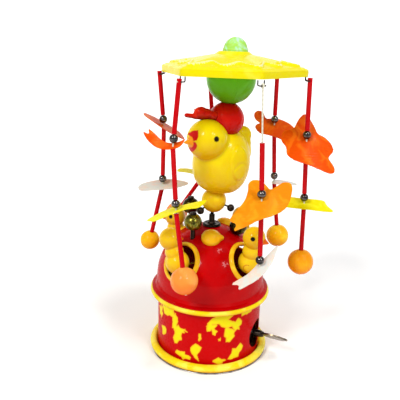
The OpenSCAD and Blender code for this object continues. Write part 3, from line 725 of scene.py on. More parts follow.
# %% Key
BLADE_THICK, BLADE_EDGE = 1.4, 0.28
BLADE_TILT = radians(53 + 90)
shape = bmesh.new()
outline = rounded([(47.5, -2.4), (50, -6), (54, -11), (60, -11.8), (65, -9.5), (66.6, -5), (69.6, -2.0),
                   (69.6, 2.0), (66.6, 5), (65, 9.5), (60, 11.8), (54, 11), (50, 6), (47.5, 2.4)])
face = shape.faces.new([shape.verts.new((x, y, -BLADE_THICK / 2)) for x, y in outline])
made = bmesh.ops.extrude_face_region(shape, geom=[face])
for v in [v for v in made["geom"] if isinstance(v, bmesh.types.BMVert)]:
    v.co.z += BLADE_THICK
bmesh.ops.bevel(shape, geom=shape.edges[:], offset=BLADE_EDGE, segments=2, affect="EDGES")
turned(shape, [(0, 40.5), (2.4, 40.5), (2.9, 41), (2.9, 46.5), (2.5, 48), (2.0, 49.5), (0, 49.8)],
       Matrix.Rotation(radians(90), 4, "Y"), steps=40, finish=1)
place = (Matrix.Rotation(key_turn, 4, "Z") @ Matrix.Translation((0, 0, key_z))
         @ Matrix.Rotation(BLADE_TILT, 4, "X"))
bmesh.ops.transform(shape, matrix=place, verts=shape.verts)
place_piece("winding_key_stamped", shape, "winder", ["winding_key"], ["key_steel", "black_wire"],
            crease=30)
print("key blade", round(max(y for x, y in outline) * 2, 1), "mm wide")

# %% [markdown]
# ## Dome
# The dome is drawn from sheet in one press, with four round nest openings and a flared foot. Its frame
# shape is right, so it keeps it. Each opening is edged by a rolled yellow ring that follows the dome's
# curve. The ring is built by sweeping a small bead along the circle where a cylinder meets the sphere.

# %% Dome measures
low, high = low_high("dome_cover")
DOME_R = 44.0
DOME_Z = high.z - DOME_R
NEST_TILT, RING_INNER, RING_OUTER = 31.0, 13.5, 16.9
NESTS = [229.0 + 90 * i for i in range(4)]


def on_dome(turn, tilt):
    """The place whose +Z points out of the dome at a turn and a tilt, with -X uphill."""
    return (Matrix.Translation((0, 0, DOME_Z)) @ Matrix.Rotation(radians(turn), 4, "Z")
            @ Matrix.Rotation(radians(90 - tilt), 4, "Y"))


print("dome centre at", round(DOME_Z, 1), "mm")

# %% [markdown]
# The ring's profile is given as heights over the sphere, so every point of it follows the dome. A little
# noise along the ring keeps it from looking machined.

# %% Nest rings
for i, turn in enumerate(NESTS):
    place = on_dome(turn, NEST_TILT)
    shape = bmesh.new()
    profile = []
    for k in range(25):
        t = k / 24
        r = RING_INNER + (RING_OUTER - RING_INNER) * t
        swell = 1.75 * (sin(pi * t) ** 0.6) + 0.05
        profile.append((r, sqrt((DOME_R + swell) ** 2 - r ** 2)))
    for k in range(9):
        r = RING_OUTER - (RING_OUTER - RING_INNER) * k / 8
        profile.append((r, sqrt((DOME_R + 0.03) ** 2 - r ** 2)))
    turned(shape, profile, place, steps=96, closed=True)
    for v in shape.verts:
        local = place.inverted() @ v.co
        outward = (v.co - Vector((0, 0, DOME_Z))).normalized()
        v.co += 0.1 * noise.noise(local * 0.35 + Vector((i * 7, 0, 0))) * outward
    place_piece(f"nest_ring_{i + 1}", shape, "base", ["nest_rings"], ["ring"])
print("four nest rings")

# %% [markdown]
# ## Nest chicks
# Four small moulded chicks look out of the openings, each turned its own way. One skin is melted over
# a body, a head and a beak, then the beak, the eyes, a wing mark and a red cheek are brushed on.

# %% Nest chicks
HEADS = [Vector((-14.0, -6.0, 57.0)), Vector((-16.0, -1.5, 60.5)), Vector((-14.0, 0, 56.0)),
         Vector((-14.0, 0, 56.0))]
LOOKS = (165, 15, 35, 30)
BODY = Vector((0.6, 0, 46.0))


def nest_chick_brush(place, head, gaze):
    """Brush for one nest chick: beak, cheek and eyes on the head, a wing line on the body."""
    up = Vector((0, 0, 1))
    eyes = [Matrix.Rotation(radians(side * 76), 3, "Z") @ gaze + up * 0.45 for side in (1, -1)]
    body = place @ BODY
    wing_at = [(body + (Matrix.Rotation(radians(side * 80), 3, "Z") @ gaze) * 8.2) for side in (1, -1)]

    def brush(point, normal):
        p = point - head
        beak = soft_step(p.dot(gaze), 8.0, 8.5) * soft_step(-(p - gaze * p.dot(gaze)).length, -3.4, -3.0)
        eye = max(soft_step(-(p - e.normalized() * 8.7).length, -1.9, -1.6) for e in eyes)
        cheek = soft_step(-(p - (gaze * 7.6 - up * 3.6)).length, -2.2, -1.8)
        line = max(soft_step(-abs((point - w).length - 3.2), -0.45, -0.2) * (p.dot(gaze) < 4)
                   for w in wing_at)
        return beak, max(cheek * (1 - beak), line * 0.6), eye

    return brush


for i, (turn, look, head_local) in enumerate(zip(NESTS, LOOKS, HEADS)):
    place = on_dome(turn, NEST_TILT)
    head = place @ head_local
    gaze = Vector((cos(radians(turn + look)), sin(radians(turn + look)), -0.22)).normalized()
    shape = bmesh.new()
    blob(shape, BODY, (9.4, 9.4, 9.0), place)
    blob(shape, head_local, (8.8, 8.8, 8.7), place)
    blob(shape, head_local * 0.45 + BODY * 0.55, (7.4, 7.6, 7.0), place)
    for k in range(6):
        size = 3.3 - 2.3 * k / 5
        blob(shape, head + gaze * (6.8 + 4.6 * k / 5), (size, size, size * 0.85))
    for side in (1, -1):
        wing = Matrix.Rotation(radians(side * 80), 3, "Z") @ gaze
        blob(shape, place @ BODY + wing * 6.6, (3.0, 3.0, 4.6))
    shape = melt_together(shape, 0.45, 12)
    chick_piece = place_piece(f"nest_chick_{i + 1}", shape, "base", ["nest_chicks"], ["nest_chick"])
    paint(chick_piece, nest_chick_brush(place, head, gaze))
print("four nest chicks,", len(chick_piece.data.vertices), "points each")

# %% [markdown]
# ## Dome buttons
# Two moulded amber studs close the spring clips at the top of the dome. Each is a domed cushion with a
# small blunt point on one side, which is made by drawing out the points of its rim there.

# %% Dome buttons
for i, (turn, tilt) in enumerate([(268.5, 64.3), (48, 65)]):
    place = on_dome(turn, tilt)
    shape = bmesh.new()
    top = DOME_R + 3.2
    profile = [(0, DOME_R + 0.1)]
    for k in range(6):
        r = 7.8 * (k + 1) / 6
        profile.append((r, sqrt((DOME_R + 0.05) ** 2 - r ** 2)))
    profile += [(7.8, sqrt(top ** 2 - 60.8) - 1.2), (7.4, sqrt(top ** 2 - 54.8) - 0.45),
                (6.7, sqrt(top ** 2 - 44.9)), (6.2, sqrt(top ** 2 - 38.4) + 0.3),
                (5.2, sqrt(top ** 2 - 27) + 0.9), (3, sqrt(top ** 2 - 9) + 1.6), (0, top + 1.8)]
    turned(shape, profile, place, steps=64)
    home = place.inverted()
    for v in shape.verts:
        p = home @ v.co
        if p.y > 0 and abs(p.x) < 6:
            drawn = 2.2 * soft_step(p.y, 4.5, 7.8) * soft_step(-abs(p.x), -3.0, 0)
            v.co = place @ Vector((p.x, p.y + drawn, p.z))
    place_piece(f"dome_button_{i + 1}", shape, "base", ["dome_buttons"], ["amber_ball"])
print("two buttons")

# %% [markdown]
# ## Bells
# Three small brass gongs stand round the neck, each on a post with a slotted screw. A bell is a thin
# bowl with a rolled lip, turned on the lathe; the slot is cut by pushing points of the screw head down.

# %% Bells and screws
# The rear and right bells take the darker brass copy, which paints the shade they sit in.
BELLS = [(-15, -16, 115.7, "brass"), (-17.5, 16.4, 118.5, "dark_brass"), (21, -6, 109.5, "dark_brass")]
for i, (x, y, z, metal) in enumerate(BELLS):
    place = Matrix.Translation((x, y, z))
    shape = bmesh.new()
    profile = [(1.85, 6.75)]
    for a in range(78, -48, -6):
        profile.append((7.0 * cos(radians(a)), 7.0 * sin(radians(a))))
    profile += [(5.0, -5.0), (4.3, -4.9), (3.9, -4.6)]
    for a in range(-48, 73, 8):
        profile.append((5.6 * cos(radians(a)), 5.6 * sin(radians(a))))
    profile.append((1.85, 5.35))
    turned(shape, profile, place, steps=64, closed=True)
    place_piece(f"bell_{i + 1}", shape, "base", ["bells"], [metal])
    shape = bmesh.new()
    turned(shape, [(0, 96.5 - z), (1.8, 96.5 - z), (1.8, 6.95), (2.7, 7.0), (2.7, 7.5), (2.4, 7.95),
                   (1.6, 8.18), (0.8, 8.2), (0, 8.2)], place, steps=48)
    head = [f for f in shape.faces if f.calc_center_median().z > z + 7.4]
    bmesh.ops.subdivide_edges(shape, edges=list({e for f in head for e in f.edges}), cuts=3,
                              use_grid_fill=True)
    for v in shape.verts:
        if v.co.z > z + 7.55 and abs((v.co.x - x) * cos(i + 0.9) + (v.co.y - y) * sin(i + 0.9)) < 0.42:
            v.co.z -= 0.55
    place_piece(f"bell_screw_{i + 1}", shape, "base", ["bell_posts"], ["black_wire"])
print("three bells")

# %% [markdown]
# ## Neck
# A black bush with a dished collar guides the spindle out of the dome. The spindle is one bent wire;
# above the bend it leans, so that the top of the toy wobbles as it turns.

# %% Bush, spindle and neck ball
low, high = low_high("neck_bush")
collar_z = DOME_Z + DOME_R + 0.1
shape = bmesh.new()
turned(shape, [(1.32, low.z), (2.3, low.z), (2.3, collar_z), (7.5, collar_z), (7.5, collar_z + 0.4),
               (7.0, collar_z + 1.1), (6.3, collar_z + 1.6), (5.4, collar_z + 1.45), (4.4, collar_z + 1.2),
               (3.2, collar_z + 1.5), (2.5, collar_z + 2.4), (2.3, collar_z + 3.2), (2.3, high.z - 0.4),
               (2.0, high.z), (1.32, high.z)], steps=64, closed=True)
place_piece("neck_bush_turned", shape, "base", ["neck_bush"], ["black_wire"])

green_middle, neck_middle = middle("green_ball"), middle("neck_ball")
lean = atan2(green_middle.x - neck_middle.x, green_middle.z - neck_middle.z)
low, high = low_high("drive_wire")
bend = Vector((0, 0, neck_middle.z - neck_middle.x / (sin(lean) / cos(lean))))
up_lean = Vector((sin(lean), 0, cos(lean)))
path = [Vector((0, 0, low.z)), Vector((0, 0, 80)), bend - Vector((0, 0, 3))]
for k in range(1, 6):
    t = k / 6
    path.append((bend - Vector((0, 0, 3))).lerp(bend, t).lerp(bend.lerp(bend + up_lean * 3, t), t))
path += [bend + up_lean * 3, bend + up_lean * ((high.z - bend.z) / cos(lean) - 0.2)]
shape = bmesh.new()
swept(shape, path, 1.25, sides=20)
place_piece("drive_wire_bent", shape, "carousel", ["drive_wire"], ["black_wire"])
print("spindle bends at", round(bend.z, 1), "mm and leans", round(degrees(lean), 2), "degrees")


# %% [markdown]
# ## Blown balls
# Every ball is blown celluloid in a two-part mould. The mould leaves a fine raised line round the ball,
# and the ends are pierced for the wire or cord. The lathe profile carries the line at its middle, and
# the ball is turned so that the line runs from pole to pole.

# %% Balls
def blown_ball(name, centre, radius, body, stands_for, finish, seam_turn=0.0, tip=None, seam=0.14):
    """A blown ball with a mould line; tip leans the line's axis."""
    place = (Matrix.Translation(centre) @ Matrix.Rotation(radians(seam_turn), 4, "Z")
             @ Matrix.Rotation(radians(90 if tip is None else tip), 4, "X"))
    shape = bmesh.new()
    angles = [-90 + 3 * k for k in range(60)] + [-1.6, -1.1, 1.1, 1.6, 90]
    profile = []
    for a in sorted(set(angles)):
        grown = radius - seam + (seam if abs(a) < 1.3 else 0)
        grown -= 0.03 * radius * max(0, 1 - (90 - abs(a)) / 9) ** 2
        profile.append((0 if abs(a) == 90 else grown * cos(radians(a)), grown * sin(radians(a))))
    turned(shape, profile, place, steps=72)
    for v in shape.verts:
        away = v.co - Vector(centre)
        v.co += away.normalized() * 0.012 * radius * (noise.noise(away * (0.8 / radius) * 2.2) - 0.3)
    return place_piece(name, shape, body, stands_for, [finish])


blown_ball("neck_ball_blown", neck_middle, 10.0, "carousel", ["neck_ball"], "neck_ball", 30)
blown_ball("red_ball_blown", middle("red_ball") + Vector((0.6, -1.6, 0.1)), 13.8, "carousel",
           ["red_ball"], "red_ball", 70)
blown_ball("green_ball_blown", green_middle - up_lean * 0.8, 18.9, "carousel", ["green_ball"],
           "green_ball", 100)
print("three spindle balls")

# %% [markdown]
# ## Strikers
# Two round-headed wires stick out of the neck ball and flick the bells as it passes. The wire droops a
# little before it enters the shot.

# %% Strikers
shape = bmesh.new()
for end in (Vector((14.5, -5, 124.6)), Vector((-9.4, -5.4, 121.7))):
    start = neck_middle + (end - neck_middle).normalized() * 9.6
    path = [start.lerp(end, t) + Vector((0, 0, 0.25 * sin(pi * t))) for t in [k / 8 for k in range(9)]]
    swept(shape, path, 0.7, sides=12)
    spin = (end - start).to_track_quat("Z", "Y").to_matrix().to_4x4()
    turned(shape, [(0, -3), (1.0, -2.83), (1.9, -2.3), (2.6, -1.5), (3, -0.3), (3, 0.3), (2.6, 1.5),
                   (1.9, 2.3), (1.0, 2.83), (0, 2.9)], Matrix.Translation(end) @ spin, steps=32)
place_piece("striker_wires", shape, "carousel", ["strikers"], ["black_wire"])
print("two strikers")

# %% [markdown]
# ## The chick
# The chick is one blown moulding: an egg-shaped body, a round head turned to one side, a short beak and
# an upright tail. Lumps are melted into one skin, which gives the soft hollows where head, tail and
# body meet. A wing is then raised on each side as an oval with feather grooves.

# %% Chick body
HEAD_AT = Vector((-5.5, -12.0, 180.6))
HEAD_R = 15.8
FACE = radians(214)
low, high = low_high("chick")
shape = bmesh.new()
lean_turn = Matrix.Rotation(lean, 4, "Y")
body_foot = Vector((1.4 + (low.z - bend.z) * sin(lean) / cos(lean), 1.2, low.z))
BODY_R, BODY_TALL = 22.6, 51.4
egg = []
for k in range(41):
    t = k / 40
    radius = (sin(pi * t ** 0.93)) ** 0.72
    egg.append((BODY_R * radius if 0 < k < 40 else 0, BODY_TALL * (1 - cos(pi * t)) / 2))
turned(shape, egg, Matrix.Translation(body_foot) @ lean_turn, steps=72)
blob(shape, HEAD_AT, (HEAD_R, HEAD_R, HEAD_R * 0.985))
blob(shape, HEAD_AT + Vector((2.5, 5, -9)), (10.5, 10.5, 10))
TAIL = [((16.8, 8, 168), (12.8, 11, 15.5)), ((19, 8.5, 174), (10.2, 8, 11)),
        ((22.6, 9.5, 180.5), (6.6, 5.6, 7.4)), ((20, 9, 182), (6, 6, 6)), ((15, 8, 176), (9, 8, 11))]
for centre, sizes in TAIL:
    blob(shape, Vector(centre), sizes)
nose = Vector((cos(FACE), sin(FACE), -0.02)).normalized()
for k in range(9):
    t = k / 8
    size = 4.6 * (1 - t) + 1.1 * t
    blob(shape, HEAD_AT + nose * (HEAD_R - 4 + 8.4 * t), (size, size, size * 0.78))
shape = melt_together(shape, 0.62, 6)
print("chick skin", len(shape.verts), "points")

# %% [markdown]
# `seen(right, up)` gives the direction on the head that a person in front of the toy sees at that share
# of the head's width, which is the simplest way to say where a painter put the eye and the red marks.

# %% Chick wings and paint
def seen(right, up):
    """The direction on a ball at a share of its radius to the right and up, from the front."""
    depth = sqrt(max(1 - right ** 2 - up ** 2, 0))
    across, rise, front = Vector((1, 0, 0)), Vector((0, 0.2, 0.98)), Vector((0, -0.98, 0.2))
    return (across * right + rise * up + front * depth).normalized()


WINGS = [(Vector((19.5, -15.5, 163.5)), Vector((0.68, -0.73, 0.05))),
         (Vector((-13, 17, 163)), Vector((-0.6, 0.8, 0.05)))]
shape.normal_update()
for v in shape.verts:
    lift = 0
    for centre, out in WINGS:
        out = out.normalized()
        across = Vector((0, 0, 1)).cross(out).normalized()
        p = v.co - centre
        if p.dot(out) > -12:
            u, w = p.dot(across) / 8.6, p.z / 13.8
            ring = hypot(u, w)
            lift = max(lift, 1.2 * (1 - soft_step(ring, 0.82, 1.05))
                       - 0.3 * max(0, cos(w * 5 + u * u * 3)) ** 8 * (ring < 0.8) * (w < 0.1))
    v.co += v.normal * lift
chick = place_piece("chick_blown", shape, "carousel", ["chick"], ["chick"])

EYES = [seen(0.41, 0.03), Vector((cos(FACE - radians(74)), sin(FACE - radians(74)), 0.24)).normalized()]
CHEEK = [(-0.97, 0.24), (-0.70, 0.40), (-0.46, 0.42), (-0.44, 0.10), (-0.50, -0.04), (-0.66, -0.10),
         (-0.78, 0.08)]
WATTLE = [(-0.68, -0.12), (-0.54, -0.16), (-0.48, -0.30), (-0.54, -0.46), (-0.68, -0.60), (-0.82, -0.60),
          (-0.88, -0.46), (-0.84, -0.30)]


def chick_brush(point, normal):
    """Orange beak, red face marks and black eyes."""
    p = point - HEAD_AT
    away = p.length
    if away > HEAD_R * 1.6 or p.z < -HEAD_R:
        return 0, 0, 0
    way = p.normalized()
    off_nose = (p - nose * p.dot(nose)).length
    beak = soft_step(p.dot(nose), HEAD_R - 0.9, HEAD_R - 0.5) * soft_step(-off_nose, -4.3, -3.9)
    eye = max(soft_step(-(way - e).length * HEAD_R, -2.25, -1.9) for e in EYES)
    right, up, front = way.x, way.y * 0.2 + way.z * 0.98, -way.y * 0.98 + way.z * 0.2
    upper = soft_step(inside_by(right, up, CHEEK), -0.01, 0.01) * (front > 0)
    lower = soft_step(inside_by(right, up, WATTLE), -0.01, 0.01) * (front > 0)
    red = max(upper, lower) * (1 - beak)
    return beak, red, eye


paint(chick, chick_brush)
print("chick painted")

# %% [markdown]
# ## Comb
# The comb is a separate red pressing glued on the head: plump rounded lobes behind and one blunt finger
# that reaches forward over the beak.

# %% Comb
crown = HEAD_AT + Vector((0, 0, HEAD_R))
shape = bmesh.new()
for right, back, rise, sizes in ((-5.4, 0.5, 3.8, (5.6, 4.6, 4.9)), (-1.5, 1.0, 3.2, (5.4, 4.6, 4.2)),
                                 (3.4, 2.0, 2.0, (5.0, 4.4, 3.8)), (-8.6, 0.0, 1.6, (4.4, 3.2, 2.4))):
    blob(shape, crown + Vector((right, back, rise)), sizes)
for k in range(7):
    t = k / 6
    blob(shape, crown + Vector((-9 - 6.8 * t, -0.4 - 1.5 * t, 1.4 + 1.0 * t)),
         (2.1, 2.1 - 0.2 * t, 1.9 - 0.2 * t))
shape = melt_together(shape, 0.5, 4)
place_piece("chick_comb_pressed", shape, "carousel", ["chick_comb"], ["red_comb"])
print("comb on at", round(crown.z, 1), "mm")

# %% [markdown]
# ## Canopy
# The roof is one sheet pressed into a shallow six-sided hat with a turned-down band, a round boss in the
# middle, and an embossed scalloped bead that swings along near the rim. The height is worked out for a
# fine grid of points in each of the six sides, so that the bead is real relief. The faces along the top
# of the bead take a paler finish, a painted highlight along its crest. The roof's front edge is lifted a little.

# %% Canopy
HOOKS = {j["name"][0]: Vector(j["pos_m"]) / MM for j in frame["record"]["behaviour"]["joints"]
         if j["name"].endswith("_swing")}
roof = sum(HOOKS.values(), Vector()) / 6
corner_turn = atan2(HOOKS["e"].y - roof.y, HOOKS["e"].x - roof.x)
low, high = low_high("canopy")
CORNER_R, BAND, BOSS_R, ROOF_TIP = 56.0, 5.2, 10.5, radians(-1.8)
band_top, boss_top = low.z + BAND, high.z
shape = bmesh.new()
steps_out, steps_round = 72, 40
rings, beaded = [], set()
for k in range(steps_out + 1):
    t = k / steps_out
    ring = []
    for i in range(6 * steps_round):
        turn = 2 * pi * i / (6 * steps_round)
        off = (turn % (pi / 3)) - pi / 6
        flat = CORNER_R * cos(pi / 6) / cos(off)
        rounding = 0.5 * soft_step(abs(off), radians(27), radians(30))
        square = soft_step(t, 0.12, 0.75)
        edge = (flat - rounding) * square + CORNER_R * 0.955 * (1 - square)
        r = 2.6 + (edge - 2.6) * t
        roof_z = band_top + 10.4 * (1 - t ** 1.45)
        shoulder = soft_step(-r, -14.6, -BOSS_R + 0.2)
        z = roof_z * (1 - shoulder) + (boss_top - 1.0) * shoulder
        sway = 0.78 + 0.075 * cos(turn * 12)
        bead = max(0, 1 - ((t - sway) / 0.034) ** 2)
        inner_bead = max(0, 1 - ((t - 0.93) / 0.012) ** 2) * 0.35
        z += 1.5 * bead + inner_bead - 0.5 * soft_step(t, 0.97, 1.0)
        ring.append(shape.verts.new((r * cos(turn), r * sin(turn), z)))
        if bead > 0.55:
            beaded.add(ring[-1])
    rings.append(ring)
for drop, outward in ((0.9, 0.28), (1.8, 0.42), (3.2, 0.35), (4.6, 0.3), (BAND, 0.15)):
    grow = 1 + (outward - 0.4) / 56
    rings.append([shape.verts.new((v.co.x * grow, v.co.y * grow, band_top - drop))
                  for v in rings[steps_out]])
for first, second in zip(rings, rings[1:]):
    for i in range(len(first)):
        j = (i + 1) % len(first)
        face = shape.faces.new((first[i], first[j], second[j], second[i]))
        # Faces on the bead's crest take the paler finish: a painted highlight.
        face.material_index = int(first[i] in beaded and second[i] in beaded)
bmesh.ops.recalc_face_normals(shape, faces=shape.faces)
if sum(f.normal.z for f in shape.faces) < 0:
    bmesh.ops.reverse_faces(shape, faces=shape.faces)
bmesh.ops.solidify(shape, geom=shape.faces[:], thickness=0.9)
sit = Matrix.Translation((roof.x, roof.y, band_top)) @ Matrix.Rotation(ROOF_TIP, 4, "X")
sit = sit @ Matrix.Rotation(corner_turn, 4, "Z") @ Matrix.Translation((0, 0, -band_top))
bmesh.ops.transform(shape, matrix=sit, verts=shape.verts)
canopy = place_piece("canopy_pressed", shape, "carousel", ["canopy"], ["canopy", "canopy_bead"],
                     crease=50)
print("canopy", round(2 * CORNER_R), "mm over corners,", len(canopy.data.polygons), "faces")

# %% [markdown]
# ## Finial and hooks
# A pearly half ball with a small step at its foot crowns the canopy. Below each corner a bent wire staple
# carries the strand; it runs out of the band, down, and across under the strand's eye.

# %% Finial and hooks
low, high = low_high("finial")
finial_r = high.z - low.z
shape = bmesh.new()
profile = [(0, low.z - 1.2), (finial_r + 0.1, low.z - 1.2), (finial_r + 0.4, low.z - 0.9),
           (finial_r + 0.4, low.z + 0.6), (finial_r, low.z + 0.9)]
for a in range(10, 90, 5):
    profile.append(((finial_r - 0.2) * cos(radians(a)), low.z + finial_r * sin(radians(a))))
profile.append((0, high.z))
turned(shape, profile, Matrix.Translation(((low.x + high.x) / 2, (low.y + high.y) / 2, 0)), steps=72)
place_piece("finial_moulded", shape, "carousel", ["finial"], ["pearl_green"])

shape = bmesh.new()
for name, hook in sorted(HOOKS.items()):
    out = (hook - roof).xy.normalized().to_3d()
    side = Vector((-out.y, out.x, 0))
    reach = (hook - roof).xy.length
    foot = Vector((roof.x, roof.y, 0)) + out * (CORNER_R - 2.4)
    path = []
    for s in (-1, 1):
        leg, inner, level = foot + side * 2.3 * s, foot + side * 1.9 * s, Vector((0, 0, hook.z))
        legs = [leg + Vector((0, 0, 229.4)), leg + Vector((0, 0, hook.z + 0.6)), leg + out * 0.6 + level,
                leg + out * (reach - CORNER_R + 1.9) + level,
                inner + out * (reach - CORNER_R + 2.4) + level]
        path += legs if s < 0 else legs[::-1]
    swept(shape, path, 0.5, sides=10)
place_piece("canopy_hook_wires", shape, "carousel", ["canopy_hooks"], ["black_wire"])
print("six hooks at", round(reach, 1), "mm from the roof's centre")

# %% [markdown]
# ## Strands
# Six strands hang from the hooks. Each is a cord threaded through a red tube, a dark steel bead and a
# pressed vane, then another tube, bead and vane, and last a short tube and a blown ball. The frame's
# joints give the points where each part hinges; only the lower ends are repeated here, in mm.

# %% Strand points
JOINT = {j["name"]: Vector(j["pos_m"]) / MM for j in frame["record"]["behaviour"]["joints"]
         if j.get("pos_m") is not None}
ENDS = {"a": (-20, -55, 84), "b": (-52, 22, 85), "c": (33, -60, 90), "d": (60, 43, 84), "e": (72, -12, 83),
        "f": (-31, 57, 98)}
BALLS = {"a": (10.4, "peach_ball"), "b": (8.3, "amber_ball"), "d": (10.0, "amber_ball"),
         "e": (10.4, "orange_ball"), "f": (10.0, "peach_ball")}


def along(start, end):
    """The place at start whose +Z points to end."""
    way = end - start
    return (Matrix.Translation(start) @ Matrix.Rotation(atan2(way.y, way.x), 4, "Z")
            @ Matrix.Rotation(atan2(hypot(way.x, way.y), way.z), 4, "Y"))


def tube_profile(first, last):
    """A soft plastic tube, slightly flared where it was cut."""
    return [(0.75, first), (1.75, first), (1.86, first + 0.3), (1.8, first + 1.2), (1.8, last - 1.2),
            (1.86, last - 0.3), (1.75, last), (0.75, last)]


def strand_link(start, end, tube, cord_from, cord_to, bead_at=None):
    """Cord, tube and bead of one link, as one piece with three finishes."""
    place = along(start, end)
    shape = bmesh.new()
    turned(shape, [(0, cord_from), (0.6, cord_from), (0.6, cord_to), (0, cord_to)], place, steps=14)
    if tube:
        turned(shape, tube_profile(*tube), place, steps=28, finish=1)
    if bead_at is not None:
        bead = [(3.2 * cos(radians(a)), 3.2 * sin(radians(a))) for a in range(-75, 76, 10)]
        bead = [(0.7, -3.1)] + bead + [(0.7, 3.1)]
        turned(shape, bead, place @ Matrix.Translation((0, 0, bead_at)), steps=36, finish=2)
    return shape


print("strands:", sorted(ENDS))

# %% Strand links
for k in "abcdef":
    hook, knee, ankle, end = HOOKS[k], JOINT[f"{k}_knee"], JOINT[f"{k}_ankle"], Vector(ENDS[k])
    length = (knee - hook).length
    top = {"c": 38, "d": -0.4, "f": -0.4}.get(k, -2.1)
    shape = strand_link(hook, knee, (top, length - 9.4), 1.2, length - 0.2, length - 6)
    eye_side = Vector((-(hook - roof).y, (hook - roof).x, 0)).normalized()
    spin = eye_side.to_track_quat("Z", "Y").to_matrix().to_4x4()
    ring = [(1.42 + 0.46 * cos(radians(a)), 0.75 * sin(radians(a))) for a in range(0, 360, 30)]
    turned(shape, ring, Matrix.Translation(hook) @ spin, steps=24, finish=0, closed=True)
    place_piece(f"{k}_upper_strand", shape, f"{k}_upper_link", [f"{k}_upper_link"],
                ["cord", "red_tube", "bead"])
    length = (ankle - knee).length
    top = 4.2 if k == "c" else 1.2
    shape = strand_link(knee, ankle, (top, length - 9.4), 0.3, length - 0.2, length - 6)
    place_piece(f"{k}_middle_strand", shape, f"{k}_middle_link", [f"{k}_middle_link"],
                ["cord", "red_tube", "bead"])
    length = (end - ankle).length
    if k == "c":
        shape = strand_link(ankle, end, None, 0.3, length)
        turned(shape, [(0, -1.1), (0.8, -0.8), (1.1, 0), (0.8, 0.8), (0, 1.1)],
               along(ankle, end) @ Matrix.Translation((0, 0, length)), steps=16)
        place_piece("c_drop_strand", shape, "c_drop", ["c_drop"], ["cord"])
        continue
    radius, finish = BALLS[k]
    shape = strand_link(ankle, end, (1.2, length - radius + 0.2), 0.3, length + radius - 1)
    turned(shape, [(0, -0.5), (0.9, -0.3), (1.1, 0.2), (0.7, 0.7), (0, 0.8)],
           along(ankle, end) @ Matrix.Translation((0, 0, length + radius - 0.2)), steps=16)
    place_piece(f"{k}_drop_strand", shape, f"{k}_drop", [f"{k}_drop"], ["cord", "red_tube"])
    blown_ball(f"{k}_end_ball", end, radius, f"{k}_drop", [f"{k}_drop"], finish,
               {"e": 60, "a": 120}.get(k, 20), 80)
print("links and end balls on all strands")

# %% [markdown]
# ## Vanes
# A vane is die-cut from thin celluloid and warmed over a form, so that no two hang alike: petals and
# lobes in front, a forked tail behind. Each outline is drawn as it looks from the front, in mm right and
# up from its cord. Two numbers then say how the sheet lies in depth: its slope along the front, and how
# far it runs back for each millimetre it rises, about 3 for a flat-lying sheet and 0.1 for an upright
# one.

# %% Vane outlines
BIRD = [(-9, 7), (-9, 12), (-5.5, 15), (0, 14.5), (4, 11), (6.5, 7.5), (12, 11), (17, 14), (22, 13.5),
        (23.5, 10), (21.5, 2.5), (18, -4), (13.5, -7.5), (5, -11), (-2, -13), (-9.5, -17), (-16, -20),
        (-20, -21.5), (-17, -16.5), (-23, -14.5), (-18, -8), (-11.5, -0.5)]
FLOWER = [(-8.5, 10), (-5, 17.5), (0.5, 23.5), (4.5, 18), (7.7, 11), (9, 6), (14.5, 4), (20, -1.5),
          (21, -7), (17, -11), (15.5, -13), (20, -19.5), (19.5, -24), (15.5, -25), (7, -21.5),
          (-1.5, -18), (-10, -15.5), (-15.5, -11), (-15, -5), (-19, 0.5), (-17, 8), (-12, 9)]
LOBED = [(-16.5, 11), (-13, 14), (-8.5, 12), (-7, 5.5), (-1.5, 6), (5, 6), (14, 2), (18.5, -3),
         (17.5, -13.5), (10, -16), (2.5, -12), (-6, -9.5), (-13, -8), (-16.5, -3), (-15.5, 0),
         (-11.5, 1.5), (-15, 4), (-16.5, 7)]
FEATHER = [(15, 15.5), (11.5, 7.5), (8, 1), (2, -5.6), (-5, -10.8), (-11.5, -14.4), (-15.5, -16.6),
           (-14.5, -13), (-21, -13.8), (-15.8, -10.2), (-9.5, -6.4), (-4.2, -1.6), (-1, 2), (5.5, 7),
           (10.5, 12)]
DART = [(-16.8, 10.4), (-15.5, 7.0), (-7, 1.0), (0, -3.8), (7, -7.6), (18, -11.6), (13, -4.4),
        (7, -0.6), (0, 3.0), (-8, 7.4)]
BOAT = [(-22.8, 10.4), (-18.6, 3.2), (-12, -2.2), (-5, -3.6), (1, -3.0), (6, -0.6), (9.4, 6.4),
        (6, 3.2), (0, 1.3), (-5, 1.8), (-9, 4.0), (-13.5, 8.5), (-18.4, 12.4), (-17, 7.4)]
RIBBON = [(-22.5, -8.4), (-12, -2), (-4, 1.4), (4, 3.6), (13, 6), (22.5, 8.4), (20.5, 5.4), (16, 2.2),
          (8, 1.4), (0, -1.4), (-8, -5), (-16, -8.6), (-18.5, -8.2)]
PLUME = [(-16, -2), (-12, 5), (-5, 4.2), (0, 3.5), (10, 3.2), (18, 2.4), (18.8, -1.4), (25, -6.6),
         (15, -6), (0, -4.6), (-15, -3.4)]
BLADE = [(-20.5, -3), (-18.5, -6.3), (-4, -5), (10, -3.4), (22.7, 1), (17.5, 3.2), (1.6, 4.8),
         (-11, 2), (-18.5, -0.4)]
HORN = [(-23.5, 2), (-22, 5.2), (-14, 5.6), (-6, 4), (0, 1.8), (10, -4), (15, -7), (10, -6.4),
        (0, -2.5), (-8, 0.2), (-15, 1.6)]
SLIVER = [(-4, -1.6), (2, 1.8), (13, 0.4), (20, -1.4), (20.5, -3.2), (11, -2.6), (0.5, -3)]
print("eleven vane outlines")

# %% [markdown]
# The sheet is cut as a fine grid, and the points just outside the outline are pulled onto it.

